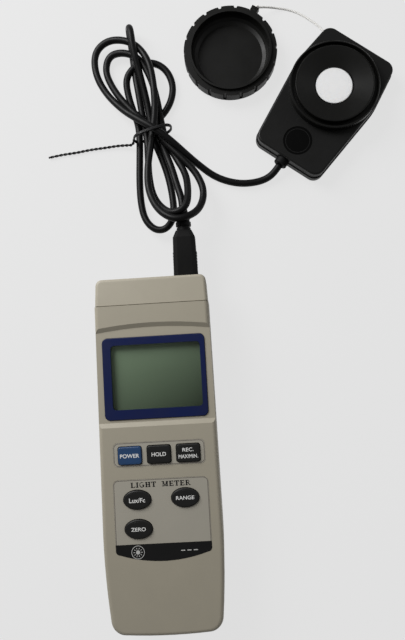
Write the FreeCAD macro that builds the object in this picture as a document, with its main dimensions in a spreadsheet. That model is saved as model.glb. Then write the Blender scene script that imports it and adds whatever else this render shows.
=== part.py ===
"""Handheld light meter with a corded light sensor, as an assembly of separate parts.

The meter lies on its back, face up: X runs across it, Y along it towards the probe socket, Z up.
The origin is the mouth of the tripod thread, on the meter's flat back. Lengths are in millimetres.
"""

import FreeCAD, Part
import math
import os

import Sketcher
from FreeCAD import Placement, Rotation, Vector

doc = FreeCAD.newDocument("light_meter")

# ---------------------------------------------------------------- driving sizes

SIZES = (
    # meter case
    ("case_head", 98.6, "socket end of the meter"),
    ("case_foot", -93.5, "other end of the meter"),
    ("case_width", 64.9, "meter at its widest"),
    ("case_height", 30.0, "back face to key face"),
    ("split_height", 13.0, "joint between rear and front shell"),
    ("wall", 2.2, "case wall"),
    ("face_drop", 3.8, "key face down to the inner face of the front shell"),
    ("seam_width", 63.2, "shells where they meet the end cap"),
    ("foot_width", 58.4, "shells at the foot end"),
    ("foot_rise", 1.4, "bulge of the foot edge"),
    ("widest_y", -40.0, "where the case is widest"),
    ("corner_radius", 8.0, "foot corners"),
    ("face_edge", 2.4, "rounding of the front edges"),
    ("back_edge", 3.5, "rounding of the back edges"),
    ("end_cap_length", 15.3, "top block that carries the socket"),
    ("end_cap_width", 61.4, "top block at its far end"),
    ("end_cap_drop", 1.6, "fall of its face towards the far end"),
    ("spigot", 4.0, "how far the end cap reaches into the shells"),
    ("gap", 0.3, "clearance between moving or mating parts"),
    # display
    ("recess_depth", 1.4, "display area below the key face"),
    ("recess_foot", 19.3, "its lower edge"),
    ("recess_head", 68.2, "its upper edge at the sides"),
    ("recess_rise", 2.6, "arch of its upper edge"),
    ("recess_slope", 2.4, "run of its sloping edges"),
    ("bezel_width", 56.5, "blue frame, across"),
    ("bezel_length", 44.8, "blue frame, along"),
    ("bezel_thick", 1.6, "blue frame"),
    ("bezel_proud", 0.7, "blue frame above the recess"),
    ("bezel_radius", 3.0, "its corners"),
    ("display_y", 43.2, "middle of the blue frame"),
    ("bezel_sides", 7.3, "blue frame beside the window, both sides together"),
    ("bezel_ends", 9.5, "blue frame above and below the window together"),
    ("window_shift_x", 0.9, "window off the frame's middle"),
    ("window_shift_y", 0.6, "window off the frame's middle"),
    ("window_thick", 0.8, "clear window"),
    ("glass_thick", 2.6, "display glass"),
    ("board_top", 20.0, "upper face of the main board"),
    ("board_thick", 1.6, "main board"),
    ("board_foot", -42.0, "lower edge of the main board"),
    ("board_head", 69.0, "upper edge of the main board"),
    ("board_width", 54.0, "main board"),
    # keys
    ("key_travel", 1.0, "stroke of a key"),
    ("key_proud", 1.2, "key above the face"),
    ("key_flange", 1.2, "lip that holds a key in"),
    ("key_lip", 1.1, "how far the lip stands out"),
    ("square_key_width", 12.8, "top row key"),
    ("square_key_length", 9.6, "top row key"),
    ("square_key_y", 1.7, "top row"),
    ("square_key_pitch", 15.8, "top row"),
    ("oval_key_width", 14.9, "lower keys"),
    ("oval_key_length", 10.1, "lower keys"),
    ("oval_key_y", -21.8, "first oval row"),
    ("oval_row_pitch", 15.4, "oval rows"),
    ("oval_key_x", 12.9, "oval columns, each side"),
    ("label_shift", 0.3, "labels and keys off the centre line"),
    ("label_thick", 0.3, "label film"),
    ("label_sunk", 0.2, "label film below the face"),
    ("upper_label_width", 49.6, "film round the top row"),
    ("upper_label_length", 12.8, "film round the top row"),
    ("lower_label_width", 51.4, "film round the oval keys"),
    ("lower_label_head", -11.2, "its upper edge"),
    ("band_head", -45.2, "upper edge of the dark band"),
    ("band_foot", -50.6, "lower edge of the band at the sides"),
    ("band_sag", 3.8, "how far the band bulges lower"),
    # battery
    ("battery_width", 26.5, "nine-volt block"),
    ("battery_length", 46.0, "nine-volt block without its studs"),
    ("battery_height", 17.5, "nine-volt block"),
    ("battery_foot", -88.6, "its far end"),
    ("door_width", 28.6, "battery cover"),
    ("door_foot", -88.8, "battery cover, hooked end"),
    ("door_head", -33.5, "battery cover, screw end"),
    ("door_thick", 2.0, "battery cover"),
    ("door_screw_y", -37.5, "its screw"),
    # stand and tripod nut
    ("stand_width", 40.0, "fold-out stand"),
    ("stand_thick", 2.4, "fold-out stand"),
    ("stand_hinge_y", 58.0, "its pivot"),
    ("stand_foot", 12.0, "its free end"),
    ("pin_radius", 1.0, "stand pivots"),
    ("pin_fit", 0.04, "running clearance on the radius"),
    ("tripod_radius", 3.175, "quarter-inch thread, nominal"),
    ("tripod_depth", 8.0, "tripod nut"),
    # screws
    ("case_screw_x", 24.2, "case screws, each side"),
    ("case_screw_head_y", 75.0, "upper pair"),
    ("case_screw_foot_y", -80.5, "lower pair"),
    ("boss_radius", 3.5, "case screw bosses"),
    # plug and socket
    ("plug_x", 19.6, "plug off the centre line"),
    ("plug_z", 15.0, "plug above the back face"),
    ("barrel_radius", 4.9, "plug barrel, outside"),
    ("barrel_wall", 0.8, "plug barrel"),
    ("barrel_reach", 8.0, "how far the barrel goes in"),
    ("plug_width", 13.8, "plug grip"),
    ("plug_height", 12.4, "plug grip"),
    ("plug_length", 22.9, "plug grip"),
    ("shoulder_length", 4.2, "plug grip, narrowing end"),
    ("relief_length", 13.0, "strain relief"),
    # cord
    ("cord_radius", 2.1, "sensor cord"),
    ("string_radius", 0.5, "cap string"),
    # sensor head, in its own frame: Y along it, origin below the middle of the diffuser
    ("sensor_x", 112.8, "diffuser, across"),
    ("sensor_y", 207.3, "diffuser, along"),
    ("sensor_turn", 37.2, "head turned clockwise, degrees"),
    ("head_far", 31.8, "diffuser to the far end"),
    ("head_near", 51.2, "diffuser to the cord end"),
    ("head_width", 55.8, "head at its widest"),
    ("head_far_width", 48.4, "head at the far end"),
    ("head_near_width", 45.2, "head at the cord end"),
    ("head_widest", 3.0, "where it is widest"),
    ("head_split", 5.0, "joint between its two shells"),
    ("head_height", 11.0, "its flat face"),
    ("head_wall", 1.8, "its walls"),
    ("head_step", 0.5, "upper shell inside the lower one"),
    ("head_corner", 6.0, "its corners"),
    ("collar_radius", 26.4, "ring round the diffuser"),
    ("collar_height", 5.0, "ring above the face"),
    ("rim_radius", 23.0, "inner rim"),
    ("rim_height", 6.0, "inner rim above the face"),
    ("groove_width", 2.4, "groove between ring and rim"),
    ("groove_depth", 3.0, "groove between ring and rim"),
    ("dish_depth", 3.0, "dish inside the rim"),
    ("diffuser_radius", 10.85, "opal disc"),
    ("badge_radius", 8.5, "round dark disc"),
    ("badge_y", -38.4, "round dark disc"),
    ("gland_radius", 4.0, "cord gland"),
    ("gland_shift", -1.5, "gland off the head's middle"),
    ("gland_reach", 3.4, "gland outside the head"),
    # cap of the sensor, lying open side up
    ("cap_x", 53.5, "cap, across"),
    ("cap_y", 236.3, "cap, along"),
    ("cap_radius", 28.2, "cap over its ribs"),
    ("cap_skirt", 8.3, "height of the ribbed skirt"),
    ("cap_lip", 1.7, "inner lip above the skirt"),
    ("cap_floor", 1.6, "cap wall"),
    ("cap_bowl_radius", 19.7, "flat floor inside"),
    ("cap_fit", 0.6, "lip to the groove's outer wall"),
    ("cap_notches", 18.0, "grip notches"),
    ("lug_turn", 57.0, "string lug, degrees from X"),
)


class Size:
    """A length that knows both its number and the sheet expression that gives it."""

    def __init__(self, number, text):
        self.number = float(number)
        self.text = text

    def __float__(self):
        return self.number

    def __add__(self, other):
        other = as_size(other)
        return Size(self.number + other.number, f"({self.text} + {other.text})")

    def __sub__(self, other):
        other = as_size(other)
        return Size(self.number - other.number, f"({self.text} - {other.text})")

    def __mul__(self, other):
        other = as_size(other)
        return Size(self.number * other.number, f"({self.text} * {other.text})")

    def __truediv__(self, other):
        other = as_size(other)
        return Size(self.number / other.number, f"({self.text} / {other.text})")

    def __neg__(self):
        return Size(-self.number, f"(0 - {self.text})")

    __radd__ = __add__
    __rmul__ = __mul__

    def __rsub__(self, other):
        return as_size(other) - self


def as_size(value):
    """Wraps a plain number."""
    return value if isinstance(value, Size) else Size(value, repr(float(value)))


sheet = doc.addObject("Spreadsheet::Sheet", "sizes")
for row, (alias, number, meaning) in enumerate(SIZES, start=1):
    sheet.set(f"A{row}", meaning)
    sheet.set(f"B{row}", str(number))
    sheet.setAlias(f"B{row}", alias)
doc.recompute()

S = {alias: Size(sheet.get(alias), f"sizes.{alias}") for alias, _, _ in SIZES}

# ---------------------------------------------------------------- helpers

NODES = []


def node(item, label):
    """Names the finished object of one sub-part."""
    item.Label = label
    NODES.append(item)
    return item


def tie(item, target, size):
    """Binds a property to the sheet."""
    item.setExpression(target, as_size(size).text)


def place(item, x, y, z):
    """Binds an object's position to the sheet."""
    for letter, size in zip("xyz", (x, y, z)):
        tie(item, f".Placement.Base.{letter}", size)
    return item


def block(x, y, z, wide, long, high):
    """A box centred on x and y that stands on z."""
    item = doc.addObject("Part::Box", "block")
    tie(item, "Length", wide)
    tie(item, "Width", long)
    tie(item, "Height", high)
    return place(item, as_size(x) - as_size(wide) / 2, as_size(y) - as_size(long) / 2, z)


TURNS = {
    "X": Rotation(Vector(0, 1, 0), 90),
    "Y": Rotation(Vector(1, 0, 0), -90),
    "Z": Rotation(),
}


def rod(x, y, z, radius, length, axis="Z"):
    """A cylinder that starts at a point and runs along an axis, or along a rotated Z."""
    item = doc.addObject("Part::Cylinder", "rod")
    item.Placement = Placement(Vector(), TURNS[axis] if isinstance(axis, str) else axis)
    tie(item, "Radius", radius)
    tie(item, "Height", length)
    return place(item, x, y, z)


def fuse(*parts):
    item = doc.addObject("Part::MultiFuse", "fuse")
    item.Shapes = list(parts)
    return item


def cut(base, *tools):
    item = doc.addObject("Part::Cut", "cut")
    item.Base = base
    item.Tool = tools[0] if len(tools) == 1 else fuse(*tools)
    return item


def group(*parts):
    """Separate solids that share one node."""
    item = doc.addObject("Part::Compound", "group")
    item.Links = list(parts)
    return item


def rounded(base, radius, chosen):
    """Rounds the edges that the test picks."""
    doc.recompute()
    edges = [(n, float(radius), float(radius)) for n, e in enumerate(base.Shape.Edges, 1) if chosen(e)]
    item = doc.addObject("Part::Fillet", "rounded")
    item.Base = base
    item.Edges = edges
    return item


def upright(edge):
    """True for an edge that runs straight up."""
    box = edge.BoundBox
    return box.ZLength > 0.1 and box.XLength < 1e-4 and box.YLength < 1e-4


def level_at(height):
    """A test for edges that lie at one height."""
    return lambda edge: abs(edge.BoundBox.ZMin - float(height)) < 1e-4 and edge.BoundBox.ZLength < 1e-4


def pad_block(x, y, z, wide, long, high, corner):
    """A box with rounded upright corners."""
    return rounded(block(x, y, z, wide, long, high), corner, upright)


def oval(x, y, z, wide, long, high):
    """An upright elliptic disc."""
    ring = doc.addObject("Part::Ellipse", "oval_line")
    tie(ring, "MajorRadius", as_size(wide) / 2)
    tie(ring, "MinorRadius", as_size(long) / 2)
    place(ring, x, y, z)
    item = doc.addObject("Part::Extrusion", "oval")
    item.Base = ring
    item.Dir = Vector(0, 0, 1)
    item.DirMode = "Custom"
    item.Solid = True
    tie(item, "LengthFwd", high)
    return item


def body(name):
    return doc.addObject("PartDesign::Body", name)


def plane(owner, role):
    return next(o for o in owner.Origin.OriginFeatures if o.Role == role)


def outline(owner, points, role="XY_Plane", height=0.0):
    """A closed outline of straight lines, each corner bound to the sheet."""
    sketch = owner.newObject("Sketcher::SketchObject", "outline")
    sketch.AttachmentSupport = [(plane(owner, role), "")]
    sketch.MapMode = "FlatFace"
    tie(sketch, "AttachmentOffset.Base.z", height)
    places = [(as_size(x), as_size(y)) for x, y, *_ in points]
    corners = [Vector(float(x), float(y), 0) for x, y in places]
    count = len(corners)
    ends = []
    for n, (_, _, *radius) in enumerate(points):
        start, end = corners[n], corners[(n + 1) % count]
        if not radius:
            sketch.addGeometry(Part.LineSegment(start, end), False)
            ends.append((1, 2))
            continue
        sketch.addGeometry(clockwise_arc(start, end, float(radius[0])), False)
        ends.append((2, 1))
    for n in range(count):
        after = (n + 1) % count
        sketch.addConstraint(Sketcher.Constraint("Coincident", n, ends[n][1], after, ends[after][0]))
    for n, (x, y) in enumerate(places):
        for kind, size, axis in (("DistanceX", x, -2), ("DistanceY", y, -1)):
            if abs(size.number) < 1e-9:
                sketch.addConstraint(Sketcher.Constraint("PointOnObject", n, ends[n][0], axis))
                continue
            index = sketch.addConstraint(Sketcher.Constraint(kind, -1, 1, n, ends[n][0], size.number))
            sketch.setExpression(f"Constraints[{index}]", size.text)
    for n, (_, _, *radius) in enumerate(points):
        if radius:
            index = sketch.addConstraint(Sketcher.Constraint("Radius", n, float(radius[0])))
            sketch.setExpression(f"Constraints[{index}]", as_size(radius[0]).text)
    return sketch


def clockwise_arc(start, end, radius):
    """The shallow arc that bulges out of an outline drawn clockwise."""
    chord = end - start
    inward = Vector(chord.y, -chord.x, 0).normalize()
    centre = (start + end) / 2 + inward * math.sqrt(radius ** 2 - (chord.Length / 2) ** 2)
    first, last = (math.atan2(p.y - centre.y, p.x - centre.x) for p in (end, start))
    return Part.ArcOfCircle(Part.Circle(centre, Vector(0, 0, 1), radius), first, last)


def mirrored(points):
    """The points given for the right side, then the same ones for the left."""
    left = [(-as_size(x), y) for x, y in reversed(points) if abs(float(as_size(x))) > 1e-9]
    return list(points) + left


def pad(owner, sketch, length):
    item = owner.newObject("PartDesign::Pad", "pad")
    item.Profile = sketch
    tie(item, "Length", length)
    return item


def pocket(owner, sketch, length, upwards=False):
    item = owner.newObject("PartDesign::Pocket", "pocket")
    item.Profile = sketch
    item.Reversed = upwards
    tie(item, "Length", length)
    return item


def soften(owner, feature, radius, chosen):
    """A fillet feature in a body, on the edges that the test picks."""
    doc.recompute()
    names = [f"Edge{n}" for n, e in enumerate(feature.Shape.Edges, 1) if chosen(e)]
    item = owner.newObject("PartDesign::Fillet", "soften")
    item.Base = (feature, names)
    tie(item, "Radius", radius)
    return item


def turned(name, points):
    """A body of revolution about its own Z axis from (radius, height) points."""
    owner = body(name)
    sketch = outline(owner, points, "XZ_Plane")
    item = owner.newObject("PartDesign::Revolution", "turned")
    item.Profile = sketch
    item.ReferenceAxis = (sketch, ["V_Axis"])
    item.Angle = 360.0
    return owner


# ---------------------------------------------------------------- case

seam_y = S["case_head"] - S["end_cap_length"]
foot_line = S["case_foot"] + S["foot_rise"]
recess_floor = S["case_height"] - S["recess_depth"]
ceiling_height = S["case_height"] - S["face_drop"]
window_width = S["bezel_width"] - S["bezel_sides"]
window_length = S["bezel_length"] - S["bezel_ends"]
inner_half = S["seam_width"] / 2 - S["wall"]
floor_inside = S["wall"]
OVERRUN = 1.0


def case_points():
    """Outline of the shells, clockwise: straight sides, then shallow arcs round the foot."""
    foot_y = foot_line
    foot_half = S["foot_width"] / 2
    side_in = S["case_width"] / 2 - foot_half
    side_long = S["widest_y"] - foot_y
    side_radius = (side_in * side_in + side_long * side_long) / (side_in * 2)
    foot_radius = (foot_half * foot_half + S["foot_rise"] * S["foot_rise"]) / (S["foot_rise"] * 2)
    widest = S["case_width"] / 2
    return [
        (S["seam_width"] / 2, seam_y),
        (widest, S["widest_y"], side_radius),
        (foot_half, foot_y, foot_radius),
        (-foot_half, foot_y, side_radius),
        (-widest, S["widest_y"]),
        (-S["seam_width"] / 2, seam_y),
    ]


def cavity_points():
    """Right half of the hollow inside the shells, with its foot corners cut off."""
    foot = foot_line + S["wall"]
    foot_half = S["foot_width"] / 2 - S["wall"]
    return mirrored([
        (inner_half, seam_y + OVERRUN),
        (S["case_width"] / 2 - S["wall"], S["widest_y"]),
        (foot_half + 0.2, foot + S["corner_radius"] * 0.7),
        (foot_half - S["corner_radius"] * 0.7, foot),
    ])


def case_blank(name, start, height, face_height, edge_radius):
    """Outer block of one shell: the outline, its corners and one rounded face edge."""
    owner = body(name)
    feature = pad(owner, outline(owner, case_points(), height=start), height)
    foot = float(foot_line)
    corners = lambda e: upright(e) and abs(e.BoundBox.YMin - foot) < 0.1
    feature = soften(owner, feature, S["corner_radius"], corners)
    at_level = level_at(face_height)
    seam = float(seam_y)
    face = lambda e: at_level(e) and e.BoundBox.YMin < seam - 0.01
    return owner, soften(owner, feature, edge_radius, face)


def screw_points():
    """Where the four case screws stand."""
    return [
        (S["case_screw_x"] * side, y)
        for side in (-1, 1)
        for y in (S["case_screw_head_y"], S["case_screw_foot_y"])
    ]


def key_points():
    """Name, kind and place of each key."""
    shift = S["label_shift"]
    top = S["square_key_y"]
    row = S["oval_key_y"]
    return [
        ("key_power", "square", shift - S["square_key_pitch"], top),
        ("key_hold", "square", shift, top),
        ("key_record", "square", shift + S["square_key_pitch"], top),
        ("key_unit", "oval", shift - S["oval_key_x"], row),
        ("key_range", "oval", shift + S["oval_key_x"], row),
        ("key_zero", "oval", shift - S["oval_key_x"], row - S["oval_row_pitch"]),
    ]


SQUARE_CORNER = 1.6


def key_shape(kind, x, y, z, high, grow=0.0):
    """The plan shape of a key, grown on every side by a margin."""
    grow = as_size(grow) * 2
    if kind == "square":
        wide = S["square_key_width"] + grow
        long = S["square_key_length"] + grow
        return pad_block(x, y, z, wide, long, high, SQUARE_CORNER)
    return oval(x, y, z, S["oval_key_width"] + grow, S["oval_key_length"] + grow, high)


def recess_tool():
    """Cuts the display area: flat floor, sloping ends, arched upper end."""
    half = float(S["case_width"]) / 2 + OVERRUN

    def line(height, spread):
        foot = float(S["recess_foot"]) - spread
        head = float(S["recess_head"]) + spread
        left, right = Vector(-half, head, height), Vector(half, head, height)
        top = Vector(0, head + float(S["recess_rise"]), height)
        return Part.Wire([
            Part.LineSegment(Vector(-half, foot, height), Vector(half, foot, height)).toShape(),
            Part.LineSegment(Vector(half, foot, height), right).toShape(),
            Part.Arc(right, top, left).toShape(),
            Part.LineSegment(left, Vector(-half, foot, height)).toShape(),
        ])

    # the slope carries on past the face so that the cut leaves no skin
    floor = float(recess_floor)
    rise = float(S["recess_depth"]) + OVERRUN
    run = float(S["recess_slope"]) * rise / float(S["recess_depth"])
    item = doc.addObject("Part::Feature", "recess_tool")
    item.Shape = Part.makeLoft([line(floor, 0.0), line(floor + rise, run)], True, True)
    return item


STANDOFFS = ((-1, 16.0), (1, 16.0), (-1, -36.0), (1, -36.0))
STANDOFF_X = 24.1
STANDOFF_RADIUS = 2.6
BOARD_SCREW_RADIUS = 1.0


def make_front_shell():
    split = S["split_height"]
    owner, _ = case_blank("front_blank", split, S["case_height"] - split, S["case_height"], S["face_edge"])
    hollow = outline(owner, cavity_points(), height=split)
    pocket(owner, hollow, ceiling_height - split, upwards=True)

    posts = []
    for x, y in screw_points():
        posts.append(rod(x, y, split, S["boss_radius"], ceiling_height - split + 0.5))
    for side, y in STANDOFFS:
        reach = ceiling_height - S["board_top"] + 0.5
        posts.append(rod(side * STANDOFF_X, y, S["board_top"], STANDOFF_RADIUS, reach))
    solid = fuse(owner, *posts)

    wide, long = S["bezel_width"] + 2 * S["gap"] * 0.5, S["bezel_length"] + 2 * S["gap"] * 0.5
    bezel_floor = recess_floor + S["bezel_proud"] - S["bezel_thick"]
    tools = [
        recess_tool(),
        pad_block(0, S["display_y"], bezel_floor, wide, long, S["bezel_thick"] + 2, S["bezel_radius"]),
        block(S["window_shift_x"], S["display_y"] + S["window_shift_y"], ceiling_height - 1,
              window_width + 1.2, window_length + 1.2, 6),
    ]
    for _, kind, x, y in key_points():
        tools.append(key_shape(kind, x, y, ceiling_height - 1, 8, S["gap"]))
    for x, y in screw_points():
        tools.append(rod(x, y, split - 1, 1.5, 11))
    for side, y in STANDOFFS:
        tools.append(rod(side * STANDOFF_X, y, S["board_top"] - 1, BOARD_SCREW_RADIUS + 0.05, 6))
    label_floor = S["case_height"] - S["label_sunk"]
    tools.append(upper_label_blank(label_floor, 2, 0.1))
    tools.append(lower_film_blank(label_floor, 2, 0.1))
    return node(cut(solid, *tools), "front_shell")


def upper_label_blank(z, high, grow):
    wide, long = S["upper_label_width"] + 2 * grow, S["upper_label_length"] + 2 * grow
    return pad_block(S["label_shift"], S["square_key_y"] + 0.5, z, wide, long, high, 2.4)


def lower_film_blank(z, high, grow, head=None, foot_is_band=True):
    """The lower film's plan: rounded upper corners and a foot edge that bulges."""
    half = float(S["lower_label_width"]) / 2 + grow
    middle = float(S["label_shift"])
    top = float(head if head is not None else S["lower_label_head"]) + grow
    corner = 3.0
    low = float(S["band_foot"]) - grow
    sag = float(S["band_sag"])
    left, right = middle - half, middle + half
    diagonal = corner * math.sqrt(0.5)

    def at(x, y):
        return Vector(x, y, float(z))

    edges = []
    if head is None:
        edges.append(Part.Arc(at(left, top - corner),
                              at(left + corner - diagonal, top - corner + diagonal),
                              at(left + corner, top)).toShape())
        edges.append(Part.LineSegment(at(left + corner, top), at(right - corner, top)).toShape())
        edges.append(Part.Arc(at(right - corner, top),
                              at(right - corner + diagonal, top - corner + diagonal),
                              at(right, top - corner)).toShape())
        upper = top - corner
    else:
        edges.append(Part.LineSegment(at(left, top), at(right, top)).toShape())
        upper = top
    if not foot_is_band:
        low = float(S["band_head"])
    if foot_is_band:
        turn = 2.2
        bend = turn * math.sqrt(0.5)
        edges.append(Part.LineSegment(at(right, upper), at(right, low + turn)).toShape())
        edges.append(Part.Arc(at(right, low + turn), at(right - turn + bend, low + turn - bend),
                              at(right - turn, low)).toShape())
        edges.append(Part.Arc(at(right - turn, low), at(middle, low - sag),
                              at(left + turn, low)).toShape())
        edges.append(Part.Arc(at(left + turn, low), at(left + turn - bend, low + turn - bend),
                              at(left, low + turn)).toShape())
        edges.append(Part.LineSegment(at(left, low + turn), at(left, upper)).toShape())
    else:
        edges.append(Part.LineSegment(at(right, upper), at(right, low)).toShape())
        edges.append(Part.LineSegment(at(right, low), at(left, low)).toShape())
        edges.append(Part.LineSegment(at(left, low), at(left, upper)).toShape())
    item = doc.addObject("Part::Feature", "film_blank")
    item.Shape = Part.Face(Part.Wire(edges)).extrude(Vector(0, 0, float(high)))
    return item


def make_labels():
    """Thin films round the keys, and the dark band below them."""
    film = S["case_height"] - S["label_sunk"]
    thick = S["label_thick"]
    holes = {"square": [], "oval": []}
    for _, kind, x, y in key_points():
        holes[kind].append(key_shape(kind, x, y, film - 1, 3, S["gap"]))
    node(cut(upper_label_blank(film, thick, 0.0), *holes["square"]), "upper_label")
    node(cut(lower_film_blank(film, thick, 0.0, foot_is_band=False), *holes["oval"]), "lower_label")
    node(lower_film_blank(film, thick, 0.0, head=S["band_head"]), "label_band")


STAND_PAN = 1.8
STAND_SINK = 0.6
FINGER_ROOM = 4.0
SIDE_ROOM = 0.5
SCREW_BOSS_TOP = 5.4
BATTERY_WALL = 1.6


def make_rear_shell():
    split = S["split_height"]
    owner, feature = case_blank("rear_blank", 0.0, split, 0.0, S["back_edge"])
    hollow = outline(owner, cavity_points(), height=split)
    pocket(owner, hollow, split - floor_inside)

    recess_deep = S["stand_thick"] + STAND_SINK
    recess_wide = S["stand_width"] + 2 * SIDE_ROOM
    recess_foot = S["stand_foot"] - FINGER_ROOM
    recess_head = S["stand_hinge_y"] + 3
    recess_long = recess_head - recess_foot
    recess_y = (recess_head + recess_foot) / 2
    box_wide = S["battery_width"] + 1.0
    box_foot = S["battery_foot"] - 0.4
    box_head = S["battery_foot"] + S["battery_length"]
    box_wall_foot = box_foot - BATTERY_WALL
    box_wall_y = (box_wall_foot + box_head) / 2
    ledge_foot = S["door_screw_y"] - 3.6
    ledge_head = S["door_head"] + 2.0
    inside = floor_inside - 0.4
    added = [
        # pan behind the stand
        block(0, recess_y, inside, recess_wide + 4.4, recess_long + 4.4, recess_deep + STAND_PAN - inside),
        # walls round three sides of the battery
        cut(block(0, box_wall_y, inside, box_wide + 2 * BATTERY_WALL, box_head - box_wall_foot,
                  split - 0.2 - inside),
            block(0, box_wall_y + BATTERY_WALL, inside - 1, box_wide, box_head - box_wall_foot,
                  split + 2)),
        # ledge and boss for the cover screw
        block(0, (ledge_foot + ledge_head) / 2, inside, S["door_width"] + 5.0,
              ledge_head - ledge_foot, floor_inside + 2.1 - inside),
        rod(0, S["door_screw_y"], inside, 3.2, SCREW_BOSS_TOP - inside),
        # boss for the tripod nut
        rod(0, 0, inside, 6.4, S["tripod_depth"] + 1.4 - inside),
    ]
    for x, y in screw_points():
        added.append(rod(x, y, inside, S["boss_radius"], split - inside))
    solid = fuse(owner, *added)

    slot_width = HOOK_WIDTH + 1.6
    slot_low = HOOK_LOW - 0.2
    slot_reach = HOOK_REACH + 0.6
    door_long = S["door_head"] - S["door_foot"]
    door_pocket_top = floor_inside + 1.08
    tools = [
        block(0, recess_y, -1, recess_wide, recess_long, recess_deep + 1),
        rod(-(S["stand_width"] / 2 + 1.8), S["stand_hinge_y"], PIVOT_Z, S["pin_radius"] + S["pin_fit"],
            S["stand_width"] + 3.6, "X"),
        block(0, S["door_foot"] + door_long / 2, -1, S["door_width"] + 2 * S["gap"],
              door_long + 2 * S["gap"], door_pocket_top + 1),
        rod(0, S["door_screw_y"], 0, 1.3, 8),
        rod(0, 0, -1, 4.58, S["tripod_depth"] + 1.0),
    ]
    for side in (-1, 1):
        # slots under the foot wall for the cover's two hooks
        slot_y = S["door_foot"] + (HOOK_ROOT - slot_reach) / 2
        tools.append(block(side * HOOK_X, slot_y, slot_low, slot_width, slot_reach + HOOK_ROOT,
                           door_pocket_top - slot_low))
    for x, y in screw_points():
        tools.append(rod(x, y, -1, 1.6, split + 2))
        tools.append(rod(x, y, -1, 2.8, 4.6))
    return node(cut(solid, *tools), "rear_shell")


SEAM_GROOVE = 0.4
SEAM_DEEP = 0.7


def seam_groove(half, high):
    """Shadow line round the end cap where it meets the shells."""
    step = 1.5
    y = seam_y + SEAM_GROOVE / 2
    wide, tall = 2 * (half - SEAM_DEEP), high - 2 * SEAM_DEEP
    return cut(
        block(0, y, -1, 2 * half + 2, SEAM_GROOVE, high + 2),
        block(0, y, SEAM_DEEP + step * 0.8, wide, 1, tall - step * 1.6),
        block(0, y, SEAM_DEEP, wide - 2 * step, 1, tall),
    )


def make_end_cap():
    """Hollow block at the socket end, with a spigot inside the shells."""
    high = S["case_height"] - 0.4
    plan = body("end_plan")
    feature = pad(plan, outline(plan, mirrored([
        (S["end_cap_width"] / 2, S["case_head"]),
        (S["seam_width"] / 2 - 0.35, seam_y),
    ])), high)
    corner = lambda e: upright(e) and e.BoundBox.YMin > float(S["case_head"]) - 1
    soften(plan, feature, 3.5, corner)
    side = body("end_side")
    pad_side = pad(side, outline(side, [
        (seam_y, 0.3),
        (S["case_head"], 1.2),
        (S["case_head"], high - S["end_cap_drop"]),
        (seam_y, high),
    ], "YZ_Plane"), S["case_width"] + 10)
    pad_side.Midplane = True
    common = doc.addObject("Part::Common", "end_blank")
    common.Base, common.Tool = plan, side
    doc.recompute()
    far = float(S["case_head"])

    def chosen(edge):
        box = edge.BoundBox
        flat_run = box.ZLength < 3 and not upright(edge)
        return flat_run and box.YMax > float(seam_y) + 0.1 and (box.YLength > 1 or box.YMin > far - 4)

    blank = rounded(common, 1.8, chosen)
    wall = S["wall"]
    cavity_long = S["end_cap_length"] - wall + OVERRUN
    cavity_y = seam_y - OVERRUN + cavity_long / 2
    ceiling = ceiling_height
    solid = cut(blank, block(0, cavity_y, wall + 1, S["end_cap_width"] - 2 * wall - 2, cavity_long,
                             ceiling - 1.6 - wall - 1))
    room = 0.15
    ring_long = S["spigot"] + 2
    ring_y = seam_y - S["spigot"] + ring_long / 2
    ring_wide = (inner_half - room) * 2
    ring_low, ring_top = wall + room, ceiling - room
    ring = cut(
        block(0, ring_y, ring_low, ring_wide, ring_long, ring_top - ring_low),
        block(0, ring_y, ring_low + 1.5, ring_wide - 3, ring_long + 2, ring_top - ring_low - 3),
    )
    solid = fuse(solid, ring)
    hole = rod(S["plug_x"], seam_y + 2, S["plug_z"], 7.1, S["end_cap_length"], "Y")
    groove = seam_groove(S["seam_width"] / 2 - 0.35, high)
    return node(cut(solid, hole, groove), "end_cap")


# ---------------------------------------------------------------- display and board

WINDOW_CORNER = 2.0


def make_display():
    bezel_top = recess_floor + S["bezel_proud"]
    bezel_low = bezel_top - S["bezel_thick"]
    middle_x = S["window_shift_x"]
    middle_y = S["display_y"] + S["window_shift_y"]
    frame = pad_block(0, S["display_y"], bezel_low, S["bezel_width"], S["bezel_length"],
                      S["bezel_thick"], S["bezel_radius"])
    frame = rounded(frame, 0.4, level_at(bezel_top))
    opening = pad_block(middle_x, middle_y, bezel_low - 1, window_width, window_length,
                        S["bezel_thick"] + 2, WINDOW_CORNER)
    node(cut(frame, opening), "display_bezel")

    pane_room = 0.1
    node(pad_block(middle_x, middle_y, bezel_low, window_width - pane_room,
                   window_length - pane_room, S["window_thick"], WINDOW_CORNER), "display_window")

    glass_top = ceiling_height - 0.4
    glass_low = glass_top - S["glass_thick"]
    glass_wide, glass_long = window_width + 3.0, window_length + 4.4
    node(block(middle_x, middle_y, glass_low, glass_wide, glass_long, S["glass_thick"]), "display_glass")

    frame_top = ceiling_height - 0.1
    outer = block(middle_x, middle_y, S["board_top"], glass_wide + 3, glass_long + 3,
                  frame_top - S["board_top"])
    hollow = block(middle_x, middle_y, S["board_top"] - 1, glass_wide + 0.2, glass_long + 0.2,
                   glass_top + 0.1 - S["board_top"] + 1)
    view = block(middle_x, middle_y, glass_top - 1, window_width + 1.6, window_length + 1.6, 4)
    node(cut(outer, hollow, view), "display_frame")

    strip_long = 3.0
    strips = []
    for side in (-1, 1):
        y = middle_y + side * (glass_long / 2 - strip_long / 2 - 0.3)
        strips.append(block(middle_x, y, S["board_top"], glass_wide - 4, strip_long,
                            glass_low - S["board_top"]))
    node(group(*strips), "contact_strips")


SWITCH_BODY = 6.0
SWITCH_HEIGHT = 2.2
NUB = 0.8


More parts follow.
